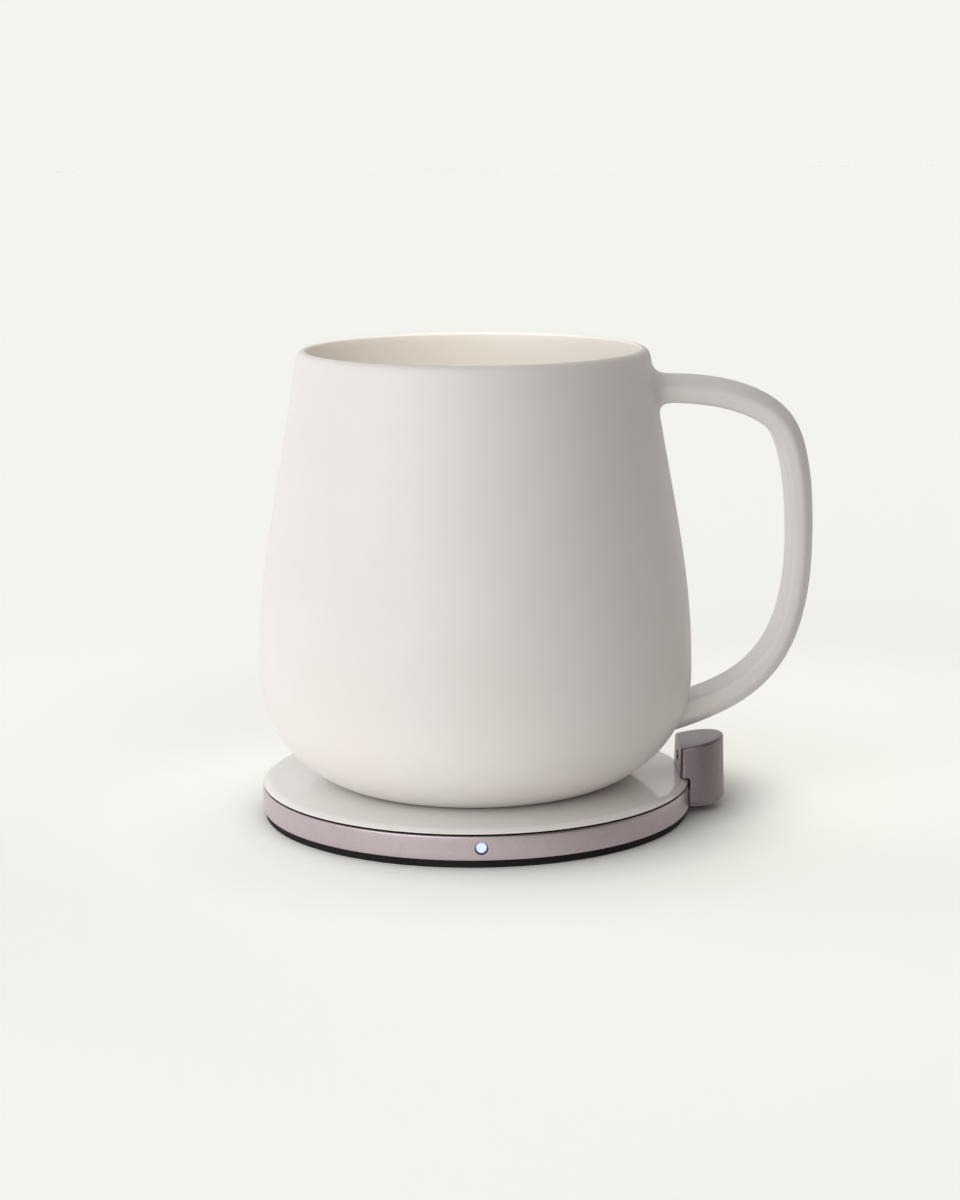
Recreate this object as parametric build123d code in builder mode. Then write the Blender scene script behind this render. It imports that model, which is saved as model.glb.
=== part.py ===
from build123d import *
from math import cos, hypot, radians, sin, tan
import os

# A self heating mug that stands on its thin round heating pad. Lengths are in millimetres and angles in
# degrees. The origin is the centre of the pad's underside. +Z is up, +X points at the handle and the sensor
# post, and -Y points at the status light.

# Fits that several pieces share
fit_gap = 0.15
screw_gap = 0.05
overrun = 2.0
countersink = 45.0
socket_share = 0.8
socket_depth = 0.4

# Pad: ring, foot, gasket and plate
pad_radius = 45.0
ring_wall = 1.8
ring_edge = 0.15
foot_height = 1.55
foot_inset = 0.5
foot_hole_margin = 0.2
foot_chamfer = 0.2
gasket_thickness = 0.4
gasket_inset = 0.4
plate_inset = 0.2
plate_rim_height = 0.8
plate_edge_run = 2.0
plate_edge_drop = 0.65
plate_spigot_drop = 0.6

# Pad: tray and its screws
tray_thickness = 1.0
nest_wall = 0.9
lug_count = 3
lug_first_angle = 60.0
lug_radius = 2.4
lug_inset = 2.0
base_screw_radius = 0.8
base_screw_head_radius = 1.5
base_screw_head_height = 0.7
base_screw_length = 3.4

# Coil and what lies round it
ferrite_thickness = 0.8
carrier_floor = 0.4
carrier_wall = 0.9
hub_radius = 6.0
wire_side = 1.1
coil_pitch = 1.75
coil_inner_radius = 7.6
coil_angle = 40.0
coil_end_angle = 14.0
strap_gap = 0.12
strap_thickness = 0.3
strap_width = 2.0
strap_land = 1.2
shield_thickness = 0.35
sensor_radius = 2.4
sensor_height = 1.5
sensor_lead_angle = -30.0

# Circuit board and its parts
board_width = 5.5
board_half_angle = 105.0
board_thickness = 0.6
standoff_height = 0.3
standoff_radius = 1.5
board_screw_angles = (-100.0, -40.0, 14.0, 72.0)
board_screw_radius = 0.6
board_screw_head_radius = 1.1
board_screw_head_height = 0.5
board_screw_bite = 0.7
controller_side = 4.4
controller_height = 0.9
controller_angle = -18.0
transistor_side = 3.2
transistor_height = 0.9
transistor_angles = (33.0, 50.0)
capacitor_length = 4.2
capacitor_depth = 2.8
capacitor_height = 2.0
capacitor_angles = (-78.0, -69.5, 66.0)
inductor_radius = 2.3
inductor_height = 2.2
inductor_rim = 0.4
inductor_angle = -49.5
part_round = 0.2
headroom = 0.25

# Status light
led_width = 1.6
led_depth = 1.0
led_height = 1.3
lens_radius = 1.075
lens_flange_step = 0.35
lens_flange_depth = 0.8
lens_recess = 0.3
lens_round = 0.3
light_hole_radius = 1.35
sleeve_recess = 0.55
light_relief = 0.3

# Power inlet in the ring's back: a small reversible low-voltage socket
inlet_width = 8.94
inlet_height = 3.26
inlet_depth = 7.3
inlet_wall = 0.3
inlet_setback = 0.6
tongue_width = 6.7
tongue_thickness = 0.7
tongue_length = 4.45
inlet_gap = 0.045

# Sensor post
post_radius = 7.6
post_overhang = 2.5
post_straight = 2.5
post_corner = 1.2
post_draft = 1.2
post_drop = 0.1
post_height = 12.5
post_slope = 11.0
post_wall = 1.7
post_roof = 1.3
post_top_round = 0.5
post_bottom_round = 1.5
post_notch_round = 0.5
post_ring_gap = 0.3
post_plate_gap = 0.12
post_web = 1.2
window_width = 4.0
window_height = 2.0
window_drop = 2.92
window_recess = 0.25
window_nose = 0.75
window_lip = 0.45
window_lip_depth = 0.6

# What the post holds, and what carries it
neck_width = 5.8
neck_margin = 0.35
neck_wall = 0.6
neck_ear = 3.4
neck_flange_depth = 1.5
post_screw_radius = 0.7
post_screw_head_radius = 1.1
post_screw_head_height = 0.8
post_screw_spread = 4.6
post_boss_height = 0.55
post_board_setback = 0.7
post_board_thickness = 0.6
post_board_width = 8.2
post_board_clear = 0.2
ir_width = 3.2
ir_height = 3.0
ir_depth = 1.8
ir_lens_radius = 0.9
ir_lens_height = 0.25
cable_width = 3.6
cable_thickness = 0.2
cable_bend = 0.35
cable_climb = 2.8
cap_thickness = 1.1
cap_rib = 0.4
cap_rib_length = 6.0
cap_rib_height = 0.9
cap_screw_radius = 0.6
cap_screw_head_radius = 0.9
cap_screw_head_height = 0.35
cap_screw_length = 4.2

# Mug: cup wall
mug_height = 89.93
belly_overhang = 0.29
belly_height = 22.82
rim_radius = 36.55
lip_thickness = 2.2
lip_height = 2.2
lip_inner_round = 0.45
lip_arm_share = 0.6
cup_wall = 3.4
foot_radius = 28.1
foot_lead = 4.0
foot_angle = 9.7
belly_low_arm = 15.5
belly_high_arm = 22.5
rim_arm = 28.7
rim_lean_share = 0.152
cup_floor = 4.0
floor_arm = 33.0
inner_low_arm = 10.5

# Mug: heater in the recess under its floor
recess_radius = 24.5
recess_round = 0.5
heating_thickness = 0.6
felt_thickness = 1.1
felt_inset = 1.1
cover_thickness = 1.2
cover_inset = 0.6
cover_gap = 0.3
cover_chamfer = 0.3
seal_height = 0.7
seal_squeeze_share = 0.8

# Mug: handle
handle_reach = 25.1
handle_drop = 8.5
handle_clearance = 1.45
handle_thickness = 5.6
handle_width = 12.0
handle_shoulder_share = 0.56
handle_shoulder_round = 1.7
handle_inner_round = 1.0
handle_root_depth = 7.0
handle_root_fall_share = 0.33
handle_high_round = 3.0
handle_low_round = 1.2
# Places of the handle's centreline: out from the belly as a share of the reach, and up from the lower root
# as a share of the height between the roots
handle_path_shares = (
    (0.208, 0.988),
    (0.490, 0.956),
    (0.722, 0.895),
    (0.853, 0.776),
    (0.905, 0.578),
    (0.853, 0.333),
    (0.686, 0.179),
    (0.447, 0.087),
    (0.220, 0.039),
)
# Places along the centreline as a share of its length, and the strap's thickness there as a share of
# handle_thickness
handle_section_shares = (
    (0.0, 1.0),
    (0.08, 1.0),
    (0.18, 1.0),
    (0.28, 1.02),
    (0.36, 0.99),
    (0.44, 0.94),
    (0.56, 0.89),
    (0.68, 0.93),
    (0.78, 0.99),
    (0.88, 1.08),
    (0.95, 1.15),
    (1.0, 1.18),
)

# Heights and radii that follow from the sizes above
ring_inner = pad_radius - ring_wall
tray_top = foot_height + tray_thickness
board_bottom = tray_top + standoff_height
board_top = board_bottom + board_thickness
coil_seat = tray_top + ferrite_thickness + carrier_floor
strap_bottom = coil_seat + wire_side + strap_gap
coil_stack = strap_bottom + strap_thickness + strap_gap + shield_thickness - tray_top
board_stack = board_top + max(capacitor_height, inductor_height) + headroom - tray_top
inlet_stack = inlet_height + 2 * inlet_gap
chamber_top = tray_top + max(coil_stack, board_stack, inlet_stack)
ring_top = chamber_top + plate_spigot_drop
plate_seat = ring_top + gasket_thickness
plate_top = plate_seat + plate_rim_height
chamber_middle = (tray_top + chamber_top) / 2
shield_bottom = chamber_top - shield_thickness
board_outer = ring_inner - neck_flange_depth - post_screw_head_height - screw_gap
board_inner = board_outer - board_width
board_middle = (board_outer + board_inner) / 2
ferrite_radius = board_inner - fit_gap - nest_wall - fit_gap
carrier_radius = ferrite_radius + nest_wall
coil_outer_radius = carrier_radius - carrier_wall - fit_gap - wire_side / 2
light_height = board_top + led_height / 2
inlet_middle = tray_top + inlet_gap + inlet_height / 2
post_bottom = foot_height - post_drop
post_top = post_bottom + post_height
post_flat = pad_radius - post_overhang
post_centre = post_flat + post_straight
post_tip_top = post_top + (post_straight + post_radius) * tan(radians(post_slope))
window_middle = post_top - window_drop
belly_radius = pad_radius + belly_overhang
belly_level = plate_top + belly_height
mug_top = plate_top + mug_height
recess_depth = cover_gap + cover_thickness + felt_thickness + heating_thickness
recess_top = plate_top + recess_depth
cup_bottom = recess_top + cup_floor
lip_level = mug_top - lip_height


def radial_plane(angle):
    """Upright plane through the pad's axis: its x runs outwards at this angle, and its y is up."""
    along = cos(radians(angle))
    across = sin(radians(angle))
    return Plane(origin=(0, 0, 0), x_dir=(along, across, 0), z_dir=(across, -along, 0))


def place(angle, radius, height):
    """Level plane at a polar place on the pad, with its x running outwards."""
    along = cos(radians(angle))
    across = sin(radians(angle))
    spot = (radius * along, radius * across, height)
    return Plane(origin=spot, x_dir=(along, across, 0), z_dir=(0, 0, 1))


def keep(part, name):
    """Label a finished piece and write it to its own file."""
    part.label = name
    export_step(part, f"parts/{name}.step")


def screw(plane, shank_radius, length, head_radius, head_height, countersunk):
    """Screw with its head's top on the plane, its shank along the plane's -z and a hexagon socket."""
    with BuildPart() as body:
        with BuildSketch(plane):
            Circle(head_radius)
        if countersunk:
            extrude(amount=-head_height, taper=countersink)
        else:
            extrude(amount=-head_height)
        with BuildSketch(plane):
            Circle(shank_radius)
        extrude(amount=-length)
        with BuildSketch(plane):
            RegularPolygon(socket_share * shank_radius, 6)
        extrude(amount=-socket_depth, mode=Mode.SUBTRACT)
    return body.part


os.makedirs("parts", exist_ok=True)

# Foot mat: the black rubber disc that the pad stands on, set back under the band and open at each screw
lug_centre = ring_inner - lug_inset
with BuildPart() as foot_mat:
    with BuildSketch():
        Circle(pad_radius - foot_inset)
        with PolarLocations(lug_centre, lug_count, lug_first_angle):
            Circle(base_screw_head_radius + foot_hole_margin, mode=Mode.SUBTRACT)
    extrude(amount=foot_height)
    low_outer = foot_mat.edges().group_by(Axis.Z)[0].sort_by(SortBy.RADIUS)[-1]
    chamfer(low_outer, length=foot_chamfer)
keep(foot_mat.part, "foot_mat")

# Outer ring: the metal band, with lugs for the tray's screws and openings for light, post and inlet
with BuildPart() as outer_ring:
    with BuildSketch(Plane.XY.offset(foot_height)):
        Circle(pad_radius)
        Circle(ring_inner, mode=Mode.SUBTRACT)
    extrude(amount=ring_top - foot_height)
    chamfer(outer_ring.edges().filter_by(GeomType.CIRCLE).sort_by(SortBy.RADIUS)[-2:], length=ring_edge)
    with BuildSketch(Plane.XY.offset(tray_top)) as lugs:
        with PolarLocations(lug_centre, lug_count, lug_first_angle):
            Circle(lug_radius)
        Circle(ring_inner + ring_wall / 2, mode=Mode.INTERSECT)
    extrude(amount=chamber_top - fit_gap - tray_top)
    with BuildSketch(Plane.XY.offset(tray_top)):
        with PolarLocations(lug_centre, lug_count, lug_first_angle):
            Circle(base_screw_radius + screw_gap)
    extrude(amount=base_screw_length - tray_thickness + screw_gap, mode=Mode.SUBTRACT)
    with BuildSketch(Plane.XZ.offset(ring_inner - overrun)):
        with Locations((0, light_height)):
            Circle(light_hole_radius)
    extrude(amount=ring_wall + 2 * overrun, mode=Mode.SUBTRACT)
    with BuildSketch(Plane.XZ.offset(-pad_radius - overrun)):
        with Locations((0, inlet_middle)):
            SlotOverall(inlet_width + 2 * fit_gap, inlet_height + 2 * fit_gap)
    extrude(amount=ring_wall + 2 * overrun, mode=Mode.SUBTRACT)
    with BuildSketch(Plane.YZ.offset(ring_inner - overrun)):
        with Locations((0, chamber_middle)):
            Rectangle(neck_width, chamber_top - tray_top - 2 * neck_margin)
        with Locations((-post_screw_spread, chamber_middle), (post_screw_spread, chamber_middle)):
            Circle(post_screw_radius + screw_gap)
    extrude(amount=ring_wall + 2 * overrun, mode=Mode.SUBTRACT)
keep(outer_ring.part, "outer_ring")

# Plate gasket: the thin black line between ring and plate
with BuildPart() as plate_gasket:
    with BuildSketch(Plane.XY.offset(ring_top)):
        Circle(pad_radius - gasket_inset)
        Circle(ring_inner, mode=Mode.SUBTRACT)
    extrude(amount=gasket_thickness)
keep(plate_gasket.part, "plate_gasket")

# Top plate: flat disc with a soft falling edge, and a spigot that centres it in the ring
plate_radius = pad_radius - plate_inset
edge_radius = (plate_edge_run ** 2 + plate_edge_drop ** 2) / (2 * plate_edge_drop)
plate_flat = plate_radius - plate_edge_run
spigot_radius = ring_inner - fit_gap
with BuildPart() as top_plate:
    with BuildSketch(Plane.XZ):
        with BuildLine():
            Polyline((0, chamber_top), (spigot_radius, chamber_top), (spigot_radius, plate_seat))
            Polyline(
                (spigot_radius, plate_seat),
                (plate_radius, plate_seat),
                (plate_radius, plate_top - plate_edge_drop),
            )
            RadiusArc((plate_radius, plate_top - plate_edge_drop), (plate_flat, plate_top), -edge_radius)
            Polyline((plate_flat, plate_top), (0, plate_top), (0, chamber_top))
        make_face()
    revolve(axis=Axis.Z)
keep(top_plate.part, "top_plate")

# Base tray: the pad's floor, with a nest for the ferrite, standoffs for the board and countersunk holes
tray_radius = ring_inner - fit_gap
with BuildPart() as base_tray:
    with BuildSketch(Plane.XY.offset(foot_height)):
        Circle(tray_radius)
    extrude(amount=tray_thickness)
    with BuildSketch(Plane.XY.offset(tray_top)):
        Circle(carrier_radius)
        Circle(ferrite_radius + fit_gap, mode=Mode.SUBTRACT)
    extrude(amount=ferrite_thickness)
    for angle in board_screw_angles:
        with BuildSketch(place(angle, board_middle, tray_top)):
            Circle(standoff_radius)
        extrude(amount=standoff_height)
    for angle in board_screw_angles:
        with BuildSketch(place(angle, board_middle, board_bottom)):
            Circle(board_screw_radius + screw_gap)
        extrude(amount=-standoff_height - board_screw_bite, mode=Mode.SUBTRACT)
    with BuildSketch(Plane.XY.offset(foot_height)):
        with PolarLocations(lug_centre, lug_count, lug_first_angle):
            Circle(base_screw_head_radius + screw_gap)
    extrude(amount=base_screw_head_height, taper=countersink, mode=Mode.SUBTRACT)
    with BuildSketch(Plane.XY.offset(foot_height)):
        with PolarLocations(lug_centre, lug_count, lug_first_angle):
            Circle(base_screw_radius + screw_gap)
    extrude(amount=tray_thickness, mode=Mode.SUBTRACT)
    with BuildSketch(Plane.XZ.offset(board_outer)):
        with Locations((0, light_height)):
            Circle(lens_radius + lens_flange_step + light_relief)
    extrude(amount=ring_inner - board_outer, mode=Mode.SUBTRACT)
keep(base_tray.part, "base_tray")

# Base screws: three from below, through the tray into the ring's lugs
base_screws = []
for turn in range(lug_count):
    angle = lug_first_angle + turn * 360 / lug_count
    seat = place(angle, lug_centre, foot_height)
    underside = Plane(origin=seat.origin, x_dir=seat.x_dir, z_dir=-seat.z_dir)
    base_screws.append(
        screw(
            underside,
            base_screw_radius,
            base_screw_length,
            base_screw_head_radius,
            base_screw_head_height,
            True,
        )
    )
keep(Compound(children=base_screws), "base_screws")

# Ferrite sheet: turns the coil's field upwards
with BuildPart() as ferrite_sheet:
    with BuildSketch(Plane.XY.offset(tray_top)):
        Circle(ferrite_radius)
    extrude(amount=ferrite_thickness)
keep(ferrite_sheet.part, "ferrite_sheet")

# Coil carrier: a moulded dish with a hub, and a slot for each strap that leaves it
strap_slot = strap_width + 2 * fit_gap
slot_height = shield_bottom - strap_bottom + strap_gap
with BuildPart() as coil_carrier:
    with BuildSketch(Plane.XY.offset(coil_seat - carrier_floor)):
        Circle(carrier_radius)
    extrude(amount=carrier_floor)
    with BuildSketch(Plane.XY.offset(coil_seat)):
        Circle(carrier_radius)
        Circle(carrier_radius - carrier_wall, mode=Mode.SUBTRACT)
        Circle(hub_radius)
    extrude(amount=shield_bottom - coil_seat)
    with BuildSketch(Plane.XY.offset(chamber_top - sensor_height)):
        Circle(sensor_radius + fit_gap)
    extrude(amount=sensor_height, mode=Mode.SUBTRACT)
    for angle in (coil_angle, coil_angle - coil_end_angle, sensor_lead_angle):
        with BuildSketch(radial_plane(angle).offset(-strap_slot / 2)):
            with Locations((carrier_radius, shield_bottom)):
                Rectangle(2 * overrun, 2 * slot_height)
        extrude(amount=strap_slot, mode=Mode.SUBTRACT)
    with BuildSketch(radial_plane(sensor_lead_angle).offset(-strap_slot / 2)):
        with Locations((hub_radius, shield_bottom)):
            Rectangle(2 * (hub_radius - sensor_radius), 2 * slot_height)
    extrude(amount=strap_slot, mode=Mode.SUBTRACT)
keep(coil_carrier.part, "coil_carrier")

# Induction coil: one flat spiral of square wire in half turns, whose radius grows by half a pitch at each
half_turns = 2 * int((coil_outer_radius - coil_inner_radius) / coil_pitch)
coil_level = coil_seat + wire_side / 2
coil_plane = Plane.XY.offset(coil_level).rotated((0, 0, coil_angle))
with BuildPart() as induction_coil:
    with BuildLine(coil_plane) as spiral:
        for turn in range(half_turns):
            arc_centre = coil_pitch / 4 * (-1 if turn % 2 == 0 else 1)
            arc_radius = coil_inner_radius + turn * coil_pitch / 2 + coil_pitch / 4
            sweep_angle = 180 - coil_end_angle if turn == half_turns - 1 else 180
            CenterArc((arc_centre, 0), arc_radius, 180 * (turn % 2), sweep_angle)
    with BuildSketch(Plane(origin=spiral.line @ 0, z_dir=spiral.line % 0)):
        Rectangle(wire_side, wire_side)
    sweep()
keep(induction_coil.part, "induction_coil")
coil_end = coil_inner_radius + half_turns * coil_pitch / 2

samples = 40 * half_turns
walk = [spiral.line @ (step / samples) for step in range(samples + 1)]
per_turn = samples // half_turns
least_gap = min(
    (walk[first] - walk[second]).length
    for first in range(0, samples, 4)
    for second in range(first + per_turn, samples, 1)
) - wire_side
print(f"coil: {half_turns / 2} turns, least gap between its turns {least_gap:.2f} mm")


def strap(angle, start_radius, end_radius):
    """Flat strap over the coil along a radius, with its outer end bent down on to the board."""
    with BuildPart() as body:
        with BuildSketch(radial_plane(angle).offset(-strap_width / 2)):
            with BuildLine():
                Polyline(
                    (start_radius, strap_bottom),
                    (end_radius - strap_thickness, strap_bottom),
                    (end_radius - strap_thickness, board_top),
                    (end_radius + strap_land, board_top),
                    (end_radius + strap_land, board_top + strap_thickness),
                    (end_radius, board_top + strap_thickness),
                    (end_radius, strap_bottom + strap_thickness),
                    (start_radius, strap_bottom + strap_thickness),
                    close=True,
                )
            make_face()
        extrude(amount=strap_width)
    return body.part


# Coil leads: one strap from the inner end over the turns, and a short one from the outer end
strap_end = board_inner + strap_thickness + fit_gap
coil_leads = [
    strap(coil_angle, coil_inner_radius - wire_side / 2, strap_end),
    strap(coil_angle - coil_end_angle, coil_end - wire_side, strap_end),
]
keep(Compound(children=coil_leads), "coil_leads")

# Sensor lead: the same strap, from the hub's sensor to the board
keep(strap(sensor_lead_angle, sensor_radius + fit_gap, strap_end), "sensor_lead")

# Heat shield: a mica sheet under the plate, open over the sensor
with BuildPart() as heat_shield:
    with BuildSketch(Plane.XY.offset(shield_bottom)):
        Circle(carrier_radius)
        Circle(sensor_radius + fit_gap, mode=Mode.SUBTRACT)
    extrude(amount=shield_thickness)
keep(heat_shield.part, "heat_shield")

# Plate temperature sensor: a button in the hub's pocket, against the plate
with BuildPart() as plate_temperature_sensor:
    with BuildSketch(Plane.XY.offset(chamber_top - sensor_height)):
        Circle(sensor_radius)
    extrude(amount=sensor_height)
    chamfer(plate_temperature_sensor.edges().group_by(Axis.Z)[0], length=part_round)
keep(plate_temperature_sensor.part, "plate_temperature_sensor")

# Circuit board: a C round the coil, notched for the ring's lugs and for the inlet
inlet_back = pad_radius - inlet_setback - inlet_depth
with BuildPart() as circuit_board:
    with BuildSketch(Plane.XY.offset(board_bottom)):
        with BuildLine():
            inner_arc = CenterArc((0, 0), board_inner, -board_half_angle, 2 * board_half_angle)
            outer_arc = CenterArc((0, 0), board_outer, -board_half_angle, 2 * board_half_angle)
            Line(inner_arc @ 0, outer_arc @ 0)
            Line(inner_arc @ 1, outer_arc @ 1)
        make_face()
        with PolarLocations(lug_centre, lug_count, lug_first_angle):
            Circle(lug_radius + 2 * fit_gap, mode=Mode.SUBTRACT)
        with Locations((0, inlet_back - fit_gap)):
            Rectangle(
                inlet_width + 2 * fit_gap,
                board_outer - inlet_back + 2 * fit_gap,
                align=(Align.CENTER, Align.MIN),
                mode=Mode.SUBTRACT,
            )
    extrude(amount=board_thickness)
    for angle in board_screw_angles:
        with BuildSketch(place(angle, board_middle, board_bottom)):
            Circle(board_screw_radius + screw_gap)
        extrude(amount=board_thickness, mode=Mode.SUBTRACT)
keep(circuit_board.part, "circuit_board")

# Board screws: through the board into the tray's standoffs
shank_length = board_screw_head_height + board_thickness + standoff_height + board_screw_bite - screw_gap
board_screws = []
for angle in board_screw_angles:
    seat = place(angle, board_middle, board_top + board_screw_head_height)
    board_screws.append(
        screw(
            seat,
            board_screw_radius,
            shank_length,
            board_screw_head_radius,
            board_screw_head_height,
            False,
        )
    )
keep(Compound(children=board_screws), "board_screws")


def block(angle, depth, width, height):
    """Moulded component that stands on the board, with soft upper edges."""
    with BuildPart() as body:
        with BuildSketch(place(angle, board_middle, board_top)):
            Rectangle(depth, width)
        extrude(amount=height)
        fillet(body.edges().group_by(Axis.Z)[-1], radius=part_round)
    return body.part


# Parts on the board
keep(block(controller_angle, controller_side, controller_side, controller_height), "controller_chip")
transistors = []
for angle in transistor_angles:
    transistors.append(block(angle, transistor_side, transistor_side, transistor_height))
keep(Compound(children=transistors), "power_transistors")
capacitors = []
for angle in capacitor_angles:
    capacitors.append(block(angle, capacitor_depth, capacitor_length, capacitor_height))
keep(Compound(children=capacitors), "filter_capacitors")

# Power inductor: a drum with a waist
with BuildPart() as power_inductor:
    with BuildSketch(place(inductor_angle, board_middle, board_top)):
        Circle(inductor_radius)
    extrude(amount=inductor_height)
    with BuildSketch(place(inductor_angle, board_middle, board_top + inductor_rim)):
        Circle(inductor_radius)
        Circle(inductor_radius - inductor_rim, mode=Mode.SUBTRACT)
    extrude(amount=inductor_height - 2 * inductor_rim, mode=Mode.SUBTRACT)
keep(power_inductor.part, "power_inductor")

# Status lamp: at the board's outer edge, behind the lens
led_centre = board_outer - led_depth / 2
with BuildPart() as status_led:
    with BuildSketch(Plane.XY.offset(board_top)):
        with Locations((0, -led_centre)):
            Rectangle(led_width, led_depth)
    extrude(amount=led_height)
keep(status_led.part, "status_led")

# Light lens: a light pipe with a flange inside the ring and a soft front end
lens_back = board_outer + 2 * fit_gap
lens_front = pad_radius - lens_recess
lens_flange_radius = lens_radius + lens_flange_step
flange_front = ring_inner - fit_gap
with BuildPart() as light_lens:
    with BuildSketch(Plane.XZ.offset(lens_back)):
        with Locations((0, light_height)):
            Circle(lens_radius)
    extrude(amount=lens_front - lens_back)
    fillet(light_lens.edges().group_by(Axis.Y)[0], radius=lens_round)
    with BuildSketch(Plane.XZ.offset(flange_front - lens_flange_depth)):
        with Locations((0, light_height)):
            Circle(lens_flange_radius)
    extrude(amount=lens_flange_depth)
keep(light_lens.part, "light_lens")

# Light sleeve: the dark ring round the lens, in the ring's hole
with BuildPart() as light_sleeve:
    with BuildSketch(Plane.XZ.offset(flange_front)):
        with Locations((0, light_height)):
            Circle(light_hole_radius - screw_gap)
            Circle(lens_radius + screw_gap, mode=Mode.SUBTRACT)
    extrude(amount=pad_radius - sleeve_recess - flange_front)
keep(light_sleeve.part, "light_sleeve")

# Power inlet: a drawn metal shell, open at the ring's back
inlet_mouth = Plane.XZ.offset(-(pad_radius - inlet_setback))
with BuildPart() as power_socket:
    with BuildSketch(inlet_mouth):
        with Locations((0, inlet_middle)):
            SlotOverall(inlet_width, inlet_height)
    extrude(amount=inlet_depth)
    with BuildSketch(inlet_mouth):
        with Locations((0, inlet_middle)):
            SlotOverall(inlet_width - 2 * inlet_wall, inlet_height - 2 * inlet_wall)
    extrude(amount=inlet_depth - inlet_wall, mode=Mode.SUBTRACT)
keep(power_socket.part, "power_socket")

# Socket tongue: the insulating blade in the shell, on its back wall
tongue_back = inlet_back + inlet_wall
with BuildPart() as socket_tongue:
    with BuildSketch(Plane.XZ.offset(-tongue_back)):
        with Locations((0, inlet_middle)):
            Rectangle(tongue_width, tongue_thickness)
    extrude(amount=-tongue_length)
    fillet(socket_tongue.edges().filter_by(Axis.Z).sort_by(Axis.Y)[-2:], radius=tongue_thickness / 2)
keep(socket_tongue.part, "socket_tongue")


def post_outline(inset):
    """D-shaped outline of the post at its foot, this far inside its outer face."""
    reach = post_radius - inset
    with BuildLine() as outline:
        Polyline(
            (post_centre, reach),
            (post_flat + inset, reach),
            (post_flat + inset, -reach),
            (post_centre, -reach),
        )
        RadiusArc((post_centre, -reach), (post_centre, reach), -reach)
    return outline.line


def roof_plane(drop):
    """The post's sloping top, or a plane this far under it."""
    slope = radians(post_slope)
    return Plane(
        origin=(post_flat, 0, post_top - drop),
        x_dir=(cos(slope), 0, sin(slope)),
        z_dir=(-sin(slope), 0, cos(slope)),
    )


# Room inside the post
neck_clear = 2 * screw_gap
web_radius = pad_radius + post_ring_gap + post_web
web_level = plate_top + post_plate_gap + post_web
with BuildPart() as post_room:
    with BuildSketch(Plane.XY.offset(post_bottom)):
        add(post_outline(post_wall))
        make_face()
    extrude(amount=2 * post_height, taper=post_draft)
    split(bisect_by=roof_plane(post_roof), keep=Keep.BOTTOM)
    with BuildSketch(Plane.XY.offset(post_bottom)):
        Circle(web_radius)
    extrude(amount=web_level - post_bottom, mode=Mode.SUBTRACT)

# Boss for the cap's screw, from the roof down to the cap
cap_top = post_bottom + cap_thickness
cap_head_hole = cap_screw_head_radius + screw_gap
cap_boss_x = post_centre + post_radius - post_wall - neck_clear - fit_gap - cap_head_hole
cap_boss_radius = cap_head_hole + fit_gap + neck_clear + screw_gap
with BuildPart() as cap_boss:
    with BuildSketch(Plane.XY.offset(cap_top)):
        with Locations((cap_boss_x, 0)):
            Circle(cap_boss_radius)
            Circle(cap_screw_radius + screw_gap, mode=Mode.SUBTRACT)
    extrude(amount=post_height)
    split(bisect_by=roof_plane(post_roof / 2), keep=Keep.BOTTOM)

# Post housing: a drafted D with a sloping top, notched over the plate's rim and round the ring
window_level_x = post_flat + (window_middle - post_bottom) * tan(radians(post_draft))
window_step_x = window_level_x + window_recess + window_nose
neck_window_height = chamber_top - tray_top - 2 * neck_margin
with BuildPart() as post_housing:
    with BuildSketch(Plane.XY.offset(post_bottom)):
        add(post_outline(0))
        make_face()
        fillet(vertices().group_by(Axis.X)[0], radius=post_corner)
    extrude(amount=2 * post_height, taper=post_draft)
    split(bisect_by=roof_plane(0), keep=Keep.BOTTOM)
    fillet(post_housing.faces().sort_by(Axis.Z)[-1].edges(), radius=post_top_round)
    fillet(post_housing.faces().sort_by(Axis.Z)[0].edges(), radius=post_bottom_round)
    with BuildSketch(Plane.XY.offset(post_bottom)):
        Circle(pad_radius + post_ring_gap)
    extrude(amount=plate_top + post_plate_gap - post_bottom, mode=Mode.SUBTRACT)
    notch_corner = post_housing.edges().filter_by(GeomType.CIRCLE).sort_by(SortBy.RADIUS)[-1]
    fillet(notch_corner, radius=post_notch_round)
    add(post_room.part, mode=Mode.SUBTRACT)
    with BuildSketch(Plane.YZ.offset(web_radius - post_web / 2)):
        with Locations((-post_screw_spread, chamber_middle), (post_screw_spread, chamber_middle)):
            Circle(post_screw_head_radius)
    extrude(amount=post_web / 2 + post_boss_height)
    with BuildSketch(Plane.YZ.offset(pad_radius - overrun)):
        with Locations((0, chamber_middle)):
            Rectangle(neck_width, neck_window_height)
        with Locations((-post_screw_spread, chamber_middle), (post_screw_spread, chamber_middle)):
            Circle(post_screw_radius + screw_gap)
    extrude(amount=overrun + post_ring_gap + post_web + overrun, mode=Mode.SUBTRACT)
    with BuildSketch(Plane.YZ.offset(window_level_x - overrun)):
        with Locations((0, window_middle)):
            SlotOverall(window_width, window_height)
    extrude(amount=overrun + post_wall + overrun, mode=Mode.SUBTRACT)
    with BuildSketch(Plane.YZ.offset(window_step_x)):
        with Locations((0, window_middle)):
            SlotOverall(window_width + 2 * window_lip, window_height + 2 * window_lip)
    extrude(amount=post_wall, mode=Mode.SUBTRACT)
    add(cap_boss.part)
keep(post_housing.part, "post_housing")

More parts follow.
